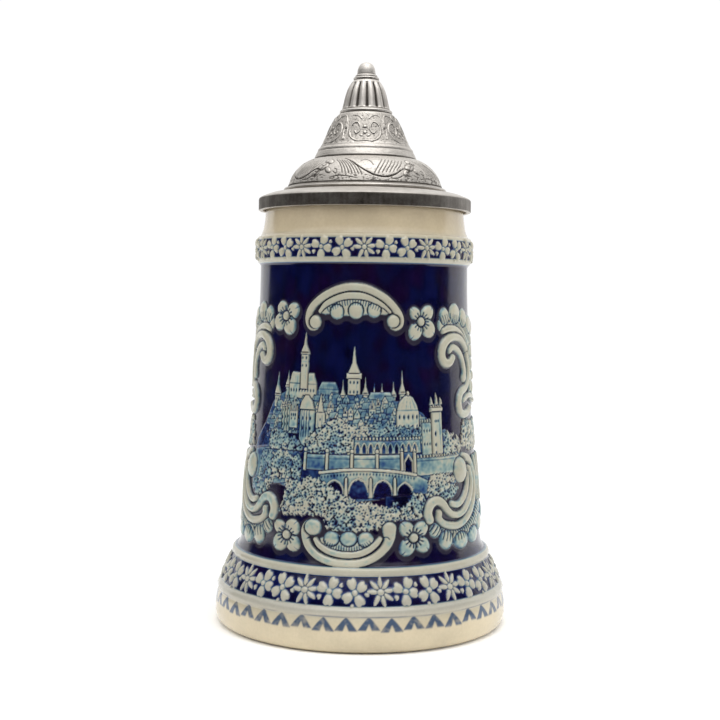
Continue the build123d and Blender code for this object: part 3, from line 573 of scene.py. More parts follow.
# ================================================================= the two flower bands
def petals(t, z, spec, sc, h, kx):
    """spec: (angle, distance, length, width) of each petal in mm round (t, z)."""
    for a, o, L, wd in spec:
        x, y = math.cos(math.radians(a)), math.sin(math.radians(a))
        ct, cz = t + x * o * sc * kx / K, z + y * o * sc
        w, T, Z = win(ct - L * sc / K, ct + L * sc / K, cz - L * sc, cz + L * sc, 0.4)
        u, v = ((T - ct) * K / kx) * x + (Z - cz) * y, -((T - ct) * K / kx) * y + (Z - cz) * x
        e = u / (L * sc / 2)
        fat = wd > 0.5 * L
        q = np.hypot(e, v / (wd * sc / 2 * (np.clip(0.93 + 0.34 * e, 0.3, 1.3) if fat else np.clip(0.95 - 0.25 * e, 0.3, 1.2))))
        if fat:
            q = q + 0.42 * np.exp(-(v / (wd * sc * 0.13)) ** 2) * sm(0.55, 1.0, e)
        d = (q - 1) * wd * sc / 2
        prof = h * np.sqrt(np.clip(1 - q ** 2.6, 0, 1)) - 0.10 * np.exp(-(v / 0.22) ** 2) * (u > -0.2)
        put(w, d, prof, 0.22, None)


def band(n, first, zc, sc, kx, h):
    """Star, flower, flower, round the band. kx is the stretch that keeps shapes true at this radius."""
    step = 360.0 / (3 * n)
    for i in range(3 * n):
        t = (first + i * step + 180) % 360 - 180
        if abs(t) > 176:
            continue
        z = zc + 0.15 * math.sin(i * 2.3)
        if i % 3 == 0:
            petals(t, z, [(a, 2.45, L, 1.45) for a, L in ((92, 4.4), (50, 4.0), (8, 3.8), (-32, 4.1), (-74, 4.4), (-118, 4.2), (136, 4.1), (178, 3.6))], sc, h, kx)
            blob(t, z, 1.0 * sc, 1.0 * sc, h * 1.1, cut=0.1)
        elif i % 3 == 1:
            petals(t, z, [(66, 2.35, 3.9, 3.1), (-12, 2.3, 3.6, 2.9), (-92, 2.4, 3.9, 3.0), (158, 2.35, 3.9, 3.0)], sc, h, kx)
            hole(t, z, 1.25 * sc, 0.5, 0.9)
            blob(t, z, 0.8 * sc, 0.8 * sc, h * 1.05, cut=0.1)
            petals(t, z, [(-150, 3.4, 1.5, 1.5), (26, 3.9, 1.3, 1.3)], sc, h * 0.8, kx)
        else:
            petals(t, z, [(38, 2.4, 3.9, 3.0), (112, 2.4, 3.9, 3.0), (-58, 2.5, 4.1, 3.0), (-146, 2.4, 3.9, 3.0)], sc, h, kx)
            hole(t, z, 1.2 * sc, 0.5, 0.9)
            blob(t, z, 0.78 * sc, 0.9 * sc, h * 1.05, cut=0.1)
            petals(t, z, [(-8, 3.7, 1.5, 1.3), (-100, 3.9, 1.2, 1.2)], sc, h * 0.8, kx)


band(12, -17.0, 21.6, 1.16, K / 0.905, 0.9)
band(11, 5.0, 143.4, 1.0, K / 0.722, 0.85)
# ---------------------------------------------------------------- glaze: colour from depth
def blur(a, s, wrap=True):
    n = int(max(1, round(s * 3)))
    k = np.exp(-0.5 * (np.arange(-n, n + 1) / s) ** 2)
    k /= k.sum()
    b = np.concatenate([a[:, -n:], a, a[:, :n]], 1)
    out = np.zeros_like(a)
    for i, c in enumerate(k):
        out += c * b[:, i:i + a.shape[1]]
    b = np.concatenate([np.repeat(out[:1], n, 0), out, np.repeat(out[-1:], n, 0)], 0)
    o2 = np.zeros_like(a)
    for i, c in enumerate(k):
        o2 += c * b[i:i + a.shape[0]]
    return o2


def noise(shape, s, seed):
    g = np.random.default_rng(seed)
    a = blur(g.standard_normal(shape).astype(np.float32), s)
    return a / a.std()


H = blur(H, 0.55)
Zc = ZZ[:, None] + 0 * TT[None]
Tc = TT[None] + 0 * ZZ[:, None]
near = blur(H, 2.2)
wide = blur(H, 6.0)
cav = np.clip((near - H) / 0.26, 0, 1)
crest = np.clip((H - near) / 0.25, 0, 1)
ground = 1 - sm(0.10, 0.34, H)
n1, n2, n3 = noise(H.shape, 2.0, 1), noise(H.shape, 9.0, 2), noise(H.shape, 30.0, 3)
P = np.maximum(cav * 0.97, blur(W, 0.6) * (1 - 0.35 * crest))
frame_ = np.clip(blur(((H > 0.3) & ((SCENE < 0.5) | (np.abs(H - blur(HS, 0.55)) > 0.12))).astype(np.float32), 1.2), 0, 1)
town_ = np.clip(blur(SCENE, 2.0) * 1.2, 0, 1) * (1 - frame_)
P = np.clip(P + town_ * (0.02 + 0.15 * np.clip((0.85 - H) / 0.5, 0, 1) + 0.05 * sm(62, 52, Zc) + 0.09 * n3 + 0.04 * n2 - 0.12 * crest), 0, 1)
P = np.clip(P + frame_ * (1 - ground) * (1 - crest) * (0.03 + 0.13 * sm(90, 62, Zc) * np.clip(0.7 + 0.3 * n2, 0, 1)) * sm(29.5, 31, Zc), 0, 1)
P = np.clip(P + frame_ * (1 - ground) * sm(1.05, 0.35, H) * (0.38 + 0.06 * n2) * sm(29.5, 31, Zc) * (1 - sm(136, 137, Zc)), 0, 1)
P = np.clip(P + 0.05 * n1 * (P > 0.08) + 0.035 * n2, 0, 1)
P = np.maximum(P, ground * (0.97 + 0.05 * np.clip(n2, -1, 1)))
# grey halo round and below the big shapes on the cobalt ground: partly thin glaze, partly a painted sheen of light
# caught on the glaze there
big = ((H > 0.5) & (frame_ > 0.5)).astype(np.float32)
thin_glaze_and_sheen = np.zeros_like(H)
for a in np.arange(0, 2 * np.pi, np.pi / 8):
    for rad in (4, 7.5):
        thin_glaze_and_sheen = np.maximum(thin_glaze_and_sheen, np.roll(big, (int(round(rad * math.sin(a))) - 3, int(round(rad * math.cos(a)))), (0, 1)))
thin_glaze_and_sheen = np.clip((blur(thin_glaze_and_sheen, 1.5) - 0.3) * 2.2, 0, 1) * ground
zone = sm(29.2, 29.9, Zc) * (1 - sm(137.6, 138.4, Zc))              # main wall
zone = np.maximum(zone, sm(16.5, 17.1, Zc) * (1 - sm(26.3, 26.8, Zc)))   # lower band
zone = np.maximum(zone, sm(139.7, 140.1, Zc) * (1 - sm(146.6, 147.2, Zc)))  # upper band
bands_ = ((Zc < 26.9) & (Zc > 16.4)) | ((Zc > 139.4) & (Zc < 147.4))
P = np.where(bands_, np.clip(P - 0.42 * np.clip(blur((H > 0.3).astype(np.float32), 3.0) * 1.5, 0, 1) * ground, 0, 1), P)
P = P * zone


def lin(r, g, b):
    c = np.array([r, g, b], float) / 255
    return np.where(c <= 0.04045, c / 12.92, ((c + 0.055) / 1.055) ** 2.4)


def ramp(x, stops):
    xs = [s[0] for s in stops]
    return np.stack([np.interp(x, xs, [s[1][i] for s in stops]) for i in range(3)], -1)


# painted shade: from z 150 up the neck's cream is darker than the foot's, standing in for the shade under the lid
cream = ramp(Zc, [(0, lin(205, 191, 161)), (8, lin(204, 190, 160)), (12.5, lin(190, 181, 158)), (15, lin(170, 167, 155)), (30, lin(170, 166, 149)), (80, lin(170, 167, 150)),
                  (137, lin(170, 166, 148)), (147, lin(172, 166, 146)), (150, lin(183, 169, 142)), (160, lin(181, 166, 140))])
GLAZE = [(0.0, lin(178, 175, 154)), (0.2, lin(140, 158, 150)), (0.4, lin(86, 118, 130)), (0.6, lin(40, 66, 108)), (0.8, lin(9, 17, 62)), (1.0, lin(0, 1, 24))]
glaze = ramp(P, GLAZE)
streak = blur(np.random.default_rng(77).standard_normal((20, H.shape[1])).astype(np.float32), 2.2)
streak = np.repeat(streak / streak.std(), H.shape[0] // 20, 0)
streak = np.clip(0.5 + 0.35 * blur(streak, 3.0) + 0.35 * n3, 0, 1)
mixf = np.clip(P / 0.22, 0, 1)[..., None]
C = cream * (1 - mixf) + glaze * mixf
# purple and blue drifts in the plain cobalt
C = C + (ground * zone * streak)[..., None] * lin(6, 8, 60) * 0.25
C = C + (ground * zone * np.clip(0.25 - 0.5 * n3 + 0.3 * n2, 0, 1))[..., None] * lin(42, 6, 46) * 0.22
body = sm(29.6, 30.4, Zc) * (1 - sm(136.6, 138.0, Zc))
# the halo's grey is mixed into the colour as thin glaze and painted sheen
hz = (0.82 * thin_glaze_and_sheen * body * (0.85 + 0.1 * np.clip(n2, -1.5, 1.5)))[..., None]
C = C * (1 - hz) + lin(50, 47, 58) * hz
# a row of brushed chevrons on the foot, and thin lines beside the beads
per = 360.0 / 43
ct = (Tc + per / 2) % per - per / 2
wob = 0.25 * np.sin(np.floor((Tc + per / 2) / per) * 2.3)
tz = np.clip((13.3 + wob - Zc) / 4.7, 0, 1.2)
leg = 4.25 * tz ** 0.8
notch = np.clip(tz - 0.5, 0, 1) ** 0.8 * 1.9
ch = (1 - sm(leg - 0.3, leg + 0.3, np.abs(ct))) * np.maximum(sm(notch - 0.35, notch + 0.25, np.abs(ct) + 0 * tz), (tz < 0.5)) * sm(13.45, 13.05, Zc) * sm(8.2 + 1.5 * wob, 9.0 + 1.5 * wob, Zc)
ch = ch * np.clip(0.97 + 0.14 * n1 + 0.08 * n2, 0, 1)
line = np.exp(-((Zc - 13.35 - 0.08 * n3) / 0.28) ** 2) * np.clip(0.5 + 0.3 * n2, 0, 0.9)
blue = lin(40, 68, 100)
f = np.clip(np.maximum(ch * 0.92, line * 0.9), 0, 1)[..., None]
C = C * (1 - f) + blue * f
C = np.clip(C * (1 + 0.02 * n2 + 0.025 * n3)[..., None], 0.0005, 1)


# ---------------------------------------------------------------- meshes
def resample(pts, step):
    """Points along a polyline at about step(z) mm apart, keeping its first and last point."""
    p = np.array(pts, float)
    s = np.r_[0, np.cumsum(np.hypot(*np.diff(p, axis=0).T))]
    out, u = [0.0], 0.0
    while u < s[-1]:
        z = np.interp(u, s, p[:, 1])
        u += step(z)
        out.append(min(u, s[-1]))
    out = np.unique(np.round(out, 6))
    return np.stack([np.interp(out, s, p[:, 0]), np.interp(out, s, p[:, 1])], 1)


def sample(A, t0, dt, z0, dz, t, z):
    """Bilinear look-up in a raster that wraps round in its columns."""
    x = (t - t0) / dt - 0.5
    y = np.clip((z - z0) / dz - 0.5, 0, A.shape[0] - 1.001)
    j, i = np.floor(x).astype(int), np.floor(y).astype(int)
    fx, fy = x - j, y - i
    if A.ndim == 3:
        fx, fy = fx[..., None], fy[..., None]
    n = A.shape[1]
    a, b = j % n, (j + 1) % n
    return (A[i, a] * (1 - fx) + A[i, b] * fx) * (1 - fy) + (A[i + 1, a] * (1 - fx) + A[i + 1, b] * fx) * fy


def grid_object(name, P, V, cols=None, cap0=None, cap1=None, loop=False, attrs=None, mat_rows=None, mats=()):
    """A surface from a grid of points (rows, columns, 3) in mm, closed round its columns. V is the V coordinate of
    each row. cap0 and cap1 are single points that close its ends; loop joins the last row to the first."""
    R, N = P.shape[:2]
    co = [P.reshape(-1, 3)]
    nv = R * N
    i = np.arange(R if loop else R - 1)[:, None]
    j = np.arange(N)[None]
    i2, j2 = (i + 1) % R, (j + 1) % N
    quads = np.stack([i * N + j, i * N + j2, i2 * N + j2, i2 * N + j], -1).reshape(-1, 4)
    u0 = np.broadcast_to(j / N, (len(i), N))
    u1 = np.broadcast_to((j + 1) / N, (len(i), N))
    VV = np.r_[V, V[-1] + (V[-1] - V[-2])] if loop else V
    v0 = np.broadcast_to(VV[:-1][:, None], (len(i), N)) if loop else np.broadcast_to(V[:-1][:, None], (len(i), N))
    v1 = np.broadcast_to(VV[1:][:, None], (len(i), N)) if loop else np.broadcast_to(V[1:][:, None], (len(i), N))
    uv = np.stack([np.stack([u0, v0], -1), np.stack([u1, v0], -1), np.stack([u1, v1], -1), np.stack([u0, v1], -1)], 2).reshape(-1, 2)
    loops, starts = [quads.ravel()], [np.arange(len(quads)) * 4]
    face_row = [np.repeat(np.arange(len(i)), N)]
    base = len(quads) * 4
    uvs = [uv]
    jj = np.arange(N)
    for cap, row, vr, flip in ((cap0, 0, V[0], True), (cap1, R - 1, V[-1], False)):
        if cap is None:
            continue
        co.append(np.array([cap], float))
        a, b = row * N + jj, row * N + (jj + 1) % N
        c = np.full(N, nv)
        nv += 1
        tri = np.stack([b, a, c], -1) if flip else np.stack([a, b, c], -1)
        loops.append(tri.ravel())
        starts.append(base + np.arange(N) * 3)
        base += N * 3
        vc = 0.0 if flip else 1.0
        ua, ub, um = jj / N, (jj + 1) / N, (jj + 0.5) / N
        first, second = (ub, ua) if flip else (ua, ub)
        uvs.append(np.stack([np.stack([first, np.full(N, vr)], -1), np.stack([second, np.full(N, vr)], -1), np.stack([um, np.full(N, vc)], -1)], 1).reshape(-1, 2))
        face_row.append(np.full(N, row))
    co = np.concatenate(co).astype(np.float32) * MM
    loops, starts, uvs = np.concatenate(loops), np.concatenate(starts), np.concatenate(uvs)
    me = bpy.data.meshes.new(name)
    me.vertices.add(len(co))
    me.vertices.foreach_set("co", co.ravel())
    me.loops.add(len(loops))
    me.loops.foreach_set("vertex_index", loops.astype(np.int32))
    me.polygons.add(len(starts))
    me.polygons.foreach_set("loop_start", starts.astype(np.int32))
    me.update(calc_edges=True)
    layer = me.uv_layers.new(name="OFBake")
    layer.data.foreach_set("uv", np.clip(uvs, 0.001, 0.999).astype(np.float32).ravel())
    for key, A in (attrs or {}).items():
        A = A.reshape(R * N, -1)
        extra = nv - R * N
        if extra:
            ends = ([A[:N].mean(0)] if cap0 is not None else []) + ([A[-N:].mean(0)] if cap1 is not None else [])
            A = np.concatenate([A, np.array(ends)])
        if A.shape[1] == 1:
            at = me.attributes.new(key, "FLOAT", "POINT")
            at.data.foreach_set("value", A.astype(np.float32).ravel())
        else:
            if A.shape[1] == 3:
                A = np.concatenate([A, np.ones((len(A), 1))], 1)
            at = me.attributes.new(key, "FLOAT_COLOR", "POINT")
            at.data.foreach_set("color", A.astype(np.float32).ravel())
    for m in mats:
        me.materials.append(m)
    if mat_rows is not None:
        me.polygons.foreach_set("material_index", np.asarray(mat_rows)[np.concatenate(face_row)].astype(np.int32))
    me.polygons.foreach_set("use_smooth", np.ones(len(starts), bool))
    me.update()
    ob = bpy.data.objects.new(name, me)
    bpy.context.scene.collection.objects.link(ob)
    return ob


# ---------------------------------------------------------------- materials
def new_mat(name):
    m = bpy.data.materials.new(name)
    m.use_nodes = True
    nt = m.node_tree
    return m, nt, nt.nodes["Principled BSDF"]


def node(nt, kind, **values):
    n = nt.nodes.new(kind)
    for k, v in values.items():
        if k in n.inputs:
            n.inputs[k].default_value = v
        else:
            setattr(n, k, v)
    return n


def noise_node(nt, coord, scale, detail=3.0, rough=0.5):
    n = node(nt, "ShaderNodeTexNoise", Scale=scale, Detail=detail, Roughness=rough)
    nt.links.new(coord, n.inputs["Vector"])
    return n.outputs["Fac"]


def maths(nt, op, a, b=None, clamp=False):
    n = nt.nodes.new("ShaderNodeMath")
    n.operation, n.use_clamp = op, clamp
    for s, v in zip(n.inputs, (a, b)):
        if v is None:
            continue
        if hasattr(v, "is_linked"):
            nt.links.new(v, s)
        else:
            s.default_value = v
    return n.outputs[0]


def mix_col(nt, fac, a, b, mode="MIX"):
    n = nt.nodes.new("ShaderNodeMix")
    n.data_type, n.blend_type = "RGBA", mode
    for s, v in ((n.inputs[0], fac), (n.inputs[6], a), (n.inputs[7], b)):
        if hasattr(v, "is_linked"):
            nt.links.new(v, s)
        elif isinstance(v, (int, float)):
            s.default_value = v
        else:
            s.default_value = (*v, 1.0)
    return n.outputs[2]


def bump(nt, height, strength, dist, under=None):
    n = nt.nodes.new("ShaderNodeBump")
    n.inputs["Strength"].default_value = strength
    n.inputs["Distance"].default_value = dist
    nt.links.new(height, n.inputs["Height"])
    if under is not None:
        nt.links.new(under, n.inputs["Normal"])
    return n.outputs["Normal"]


def glaze_mat(name, attr="Col"):
    """Salt-glazed stoneware: colour carried by the mesh, a soft clear gloss with faint ripples and pinholes."""
    m, nt, p = new_mat(name)
    obj = nt.nodes.new("ShaderNodeTexCoord").outputs["Object"]
    col = node(nt, "ShaderNodeAttribute", attribute_name=attr)
    fleck = noise_node(nt, obj, 900.0, 2.0, 0.6)
    cloud = noise_node(nt, obj, 55.0, 4.0, 0.6)
    f = maths(nt, "MULTIPLY_ADD", fleck, 0.16)
    f.node.inputs[2].default_value = 0.92
    g = maths(nt, "MULTIPLY_ADD", cloud, 0.16)
    g.node.inputs[2].default_value = 0.92
    fg = maths(nt, "MULTIPLY", f, g)
    comb = nt.nodes.new("ShaderNodeCombineColor")
    for k in range(3):
        nt.links.new(fg, comb.inputs[k])
    nt.links.new(mix_col(nt, 1.0, col.outputs["Color"], comb.outputs[0], "MULTIPLY"), p.inputs["Base Color"])
    r = maths(nt, "MULTIPLY_ADD", noise_node(nt, obj, 140.0, 3.0), 0.14)
    r.node.inputs[2].default_value = 0.10
    dry = maths(nt, "MULTIPLY", maths(nt, "SUBTRACT", 1.0, col.outputs["Alpha"]), 0.55)
    nt.links.new(maths(nt, "ADD", r, dry, clamp=True), p.inputs["Roughness"])
    n1 = bump(nt, noise_node(nt, obj, 180.0, 2.0), 0.22, 0.0004)
    nt.links.new(bump(nt, noise_node(nt, obj, 1500.0, 2.0), 0.10, 0.00008, n1), p.inputs["Normal"])
    p.inputs["IOR"].default_value = 1.5
    p.inputs["Coat Weight"].default_value = 0.12
    p.inputs["Coat Roughness"].default_value = 0.06
    return m


def pewter_mat(name, light=(0.71, 0.672, 0.622), dark=(0.040, 0.030, 0.021), attr=None, rough=0.44, grain=0.4):
    """Antiqued pewter: bright satin where it is rubbed, brown-black left in the hollows."""
    m, nt, p = new_mat(name)
    obj = nt.nodes.new("ShaderNodeTexCoord").outputs["Object"]
    mott = noise_node(nt, obj, 260.0, 5.0, 0.62)
    fine = noise_node(nt, obj, 1900.0, 3.0, 0.65)
    big = noise_node(nt, obj, 45.0, 3.0, 0.55)
    darkening = maths(nt, "MULTIPLY_ADD", mott, grain)
    darkening.node.inputs[2].default_value = -0.22 * grain
    t2 = maths(nt, "MULTIPLY_ADD", fine, 0.35 * grain)
    t2.node.inputs[2].default_value = -0.17 * grain
    t3 = maths(nt, "MULTIPLY_ADD", big, 0.3)
    t3.node.inputs[2].default_value = -0.13
    fac = maths(nt, "ADD", maths(nt, "ADD", darkening, t2), t3)
    if attr:
        a = node(nt, "ShaderNodeAttribute", attribute_name=attr)
        fac = maths(nt, "ADD", fac, a.outputs["Fac"], clamp=True)
    fac = maths(nt, "MULTIPLY", fac, 1.0, clamp=True)
    nt.links.new(mix_col(nt, fac, light, dark), p.inputs["Base Color"])
    r = maths(nt, "MULTIPLY_ADD", fac, 0.32)
    r.node.inputs[2].default_value = rough
    r2 = maths(nt, "MULTIPLY_ADD", fine, 0.10)
    r2.node.inputs[2].default_value = -0.05
    nt.links.new(maths(nt, "ADD", r, r2, clamp=True), p.inputs["Roughness"])
    n1 = bump(nt, mott, 0.22, 0.0002)
    nt.links.new(bump(nt, fine, 0.30, 0.00005, n1), p.inputs["Normal"])
    p.inputs["Metallic"].default_value = 1.0
    return m


glaze = glaze_mat("stoneware_glaze")
handle_glaze = glaze_mat("handle_glaze")
pewter = pewter_mat("pewter_engraved", attr="PewterDark")
pewter_plain = pewter_mat("pewter_cast", rough=0.36, grain=0.7)
# painted highlight: a lighter copy of the pewter for the finial, standing in for the light the finial catches
pewter_painted_highlight = pewter_mat("pewter_painted_highlight", light=(0.82, 0.78, 0.73), attr="PewterDark", rough=0.5, grain=0.3)
steel = pewter_mat("hinge_pin_steel", light=(0.52, 0.51, 0.49), dark=(0.12, 0.11, 0.10), rough=0.25, grain=0.4)


# ---------------------------------------------------------------- the mug
foot = [(0.6, 3.4), (12, 3.4), (24, 3.4), (36, 3.4), (44.6, 3.4), (45.4, 3.3), (46.4, 1.7), (47.2, 0.15), (47.6, 0), (50, 0), (52.4, 0)]
out = [(52.4, 0), (53.2, 0.12), (53.6, 0.25)] + [tuple(q) for q in curve([(53.6, 0.25), (55.5, 1.7), (56.3, 4.8), (56.15, 9.0), (55.7, 11.6), (55.2, 12.8)])[1:]]
out += [(55.5, 13.5), (55.65, 14.5), (55.4, 15.5), (54.8, 16.2), (54.2, 16.5)]
out += [tuple(q) for q in curve([(54.2, 16.5), (52.9, 20.0), (51.1, 24.0), (49.8, 26.6)])[1:]]
out += [(50.1, 27.2), (50.15, 28.0), (49.8, 28.9), (48.9, 29.5), (48.0, 29.7)]
out += [tuple(q) for q in curve([(48.0, 29.7), (46.9, 32.2), (46.3, 36.0), (45.9, 42.0), (45.3, 50.0), (44.4, 60.0), (43.3, 70.0), (42.4, 80.0), (41.8, 90.0),
                                 (41.3, 100.0), (40.85, 110.0), (40.4, 120.0), (40.1, 129.0), (40.0, 137.2)])[1:]]
out += [(40.25, 137.75), (40.7, 138.2), (41.1, 138.75), (41.4, 139.4), (41.4, 147.2), (41.3, 147.75), (41.1, 148.1), (40.7, 148.45), (40.1, 148.6)]
out += [tuple(q) for q in curve([(40.1, 148.6), (39.2, 151.0), (38.6, 154.4), (38.3, 157.6)])[1:]]
out += [(38.22, 158.4), (37.8, 159.2), (37.25, 159.75), (36.6, 160.0), (35.4, 160.0)]
ins = [(35.4, 160.0), (34.8, 159.75), (34.35, 159.1), (34.05, 158.2), (33.9, 157.0)] + [tuple(q) for q in curve([(33.9, 157.0), (34.2, 130.0), (34.9, 110.0), (36.0, 85.0), (37.4, 65.0), (39.1, 45.0), (40.2, 30.0), (40.6, 22.0)])[1:]]
ins += [tuple(q) for q in curve([(40.6, 22.0), (40.4, 18.0), (39.4, 14.5), (37.0, 12.1), (33.5, 10.4), (28.0, 9.5)])[1:]] + [(14, 9.5), (0.6, 9.5)]

fine = 0.27
A = resample(foot, lambda z: 1.6)
B = resample(out, lambda z: fine if 7.5 < z < 149.0 else 0.7)
D = resample(ins, lambda z: 0.6 if z > 155 or z < 30 else 3.0)
prof = np.concatenate([A[:-1], B, D[1:]])
nA, nB = len(A) - 1, len(B)
cum = np.r_[0, np.cumsum(np.hypot(*np.diff(prof, axis=0).T))]
vA, vB = cum[nA], cum[nA + nB - 1]
Vm = np.where(cum < vA, 0.09 * cum / vA, np.where(cum < vB, 0.09 + 0.68 * (cum - vA) / (vB - vA), 0.77 + 0.22 * (cum - vB) / (cum[-1] - vB)))
Vm = 0.005 + Vm
fr = 0.3
cols_t = np.concatenate([np.arange(-104, 104, fr), np.arange(104, 256, 0.45)])
Tg = np.broadcast_to(cols_t[None], (len(prof), len(cols_t)))
Zg = np.broadcast_to(prof[:, 1][:, None], Tg.shape)
Rg = np.broadcast_to(prof[:, 0][:, None], Tg.shape)
rows = np.arange(len(prof))
on_out = ((rows >= nA) & (rows < nA + nB))[:, None]
Hs = sample(H, -180.0, DT, 0.0, DZ, Tg, Zg) * on_out
# the beads and the plain clay are a little uneven, as moulded clay is
Hs = Hs + on_out * 0.05 * np.sin(Tg * 0.9 + 2.0 * np.sin(Tg * 0.13)) * np.exp(-((Zg - 28.0) / 1.6) ** 2)
Hs = Hs + on_out * 0.06 * np.sin(Tg * 0.7 + 1.7) * np.exp(-((Zg - 14.6) / 1.8) ** 2)
P3 = np.stack([(Rg + Hs) * np.sin(np.radians(Tg)), -(Rg + Hs) * np.cos(np.radians(Tg)), Zg], -1)
Cs = sample(C, -180.0, DT, 0.0, DZ, Tg, Zg)
inner_c = lin(216, 202, 170)
Cs = np.where(on_out[..., None], Cs, inner_c[None, None])
under = (rows < nA)[:, None, None]
Cs = np.where(under, lin(198, 178, 142)[None, None], Cs)
dryness = np.where((rows < nA + 3) & (prof[:, 1] < 0.2), 0.0, 1.0)
glz = np.broadcast_to(dryness[:, None, None], Tg.shape + (1,))
mug = grid_object("stein_body", P3, Vm, cap0=(0, 0, 3.4), cap1=(0, 0, 9.5), attrs={"Col": np.concatenate([Cs, glz], -1)}, mats=[glaze])
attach(mug, "mug")
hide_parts("mug_body")


# ---------------------------------------------------------------- the lid
class Plate:
    """A height map on a turned surface: angle across, distance along its profile up. Lines are given in (angle, z)."""

    def __init__(self, pts, step, dt, k):
        self.p = resample(pts, lambda z: step)
        self.s = np.r_[0, np.cumsum(np.hypot(*np.diff(self.p, axis=0).T))]
        self.ds, self.dt, self.k = step, dt, k
        self.S = np.arange(0, self.s[-1] + step, step)
        self.T = np.arange(-180, 180, dt) + dt / 2
        self.h = np.zeros((len(self.S), len(self.T)))
        self.c = np.zeros_like(self.h)

    def to_s(self, z):
        return np.interp(z, self.p[:, 1], self.s)

    def win(self, lo, hi, s0, s1, pad):
        j = np.arange(int((lo - pad / self.k + 180) / self.dt), int((hi + pad / self.k + 180) / self.dt) + 2)
        i0, i1 = max(0, int((s0 - pad) / self.ds)), min(len(self.S), int((s1 + pad) / self.ds) + 2)
        return np.ix_(np.arange(i0, i1), j % len(self.T)), (-180 + (j + 0.5) * self.dt)[None], self.S[i0:i1, None]

    def dist(self, pts, T, S, r):
        best = np.full(np.broadcast(T, S).shape, 1e9)
        r = np.interp(np.linspace(0, 1, len(pts)), np.linspace(0, 1, np.size(r)), np.atleast_1d(r))
        for i in range(len(pts) - 1):
            ax, az, bx, bz = pts[i][0] * self.k, pts[i][1], pts[i + 1][0] * self.k, pts[i + 1][1]
            dx, dz = bx - ax, bz - az
            u = np.clip(((T * self.k - ax) * dx + (S - az) * dz) / (dx * dx + dz * dz + 1e-9), 0, 1)
            best = np.minimum(best, np.hypot(T * self.k - ax - u * dx, S - az - u * dz) / (r[i] + (r[i + 1] - r[i]) * u))
        return best

    def line(self, pts, r, depth, dark=0.8, smooth=True):
        """Cut (depth > 0) or raise (depth < 0) a line r mm to each side."""
        q = [(t, self.to_s(z)) for t, z in pts]
        q = curve(q, 6) if smooth and len(q) > 2 else np.array(q, float)
        R = float(np.max(r))
        w, T, S = self.win(q[:, 0].min(), q[:, 0].max(), q[:, 1].min(), q[:, 1].max(), R * 2)
        d = self.dist(q, T, S, r)
        f = np.exp(-(d / 0.85) ** 2 * 1.2)
        self.h[w] = self.h[w] - depth * f if depth > 0 else np.maximum(self.h[w], -depth * np.sqrt(np.clip(1 - (d / 1.5) ** 2, 0, 1)))
        if dark:
            self.c[w] = np.maximum(self.c[w], dark * f)

    def lump(self, t, z, rt, rs, h, rot=0.0):
        s = self.to_s(z)
        w, T, S = self.win(t - rt / self.k, t + rt / self.k, s - rs, s + rs, 0.5)
        a = math.radians(rot)
        x, y = (T - t) * self.k, S - s
        q = np.hypot((x * math.cos(a) + y * math.sin(a)) / rt, (-x * math.sin(a) + y * math.cos(a)) / rs)
        self.h[w] = np.maximum(self.h[w], h * np.sqrt(np.clip(1 - q ** 2.4, 0, 1)))
        self.c[w] = np.maximum(self.c[w], 0.55 * np.exp(-((q - 1.12) / 0.13) ** 2))

    def stipple(self, z0, z1, size, depth, dark, seed, keep=None):
        s0, s1 = self.to_s(z0), self.to_s(z1)
        g = np.random.default_rng(seed)
        n = g.standard_normal(self.h.shape)
        n = blur(n.astype(np.float32), size / self.ds * 0.35)
        n = n / n.std()
        m = (sm(s0 - 0.2, s0 + 0.3, self.S) * (1 - sm(s1 - 0.3, s1 + 0.2, self.S)))[:, None]
        if keep is not None:
            m = m * keep
        f = np.clip(-n, 0, 2.0) / 2.0
        self.h -= depth * f * m
        self.c = np.maximum(self.c, dark * sm(0.15, 0.7, f) * m)


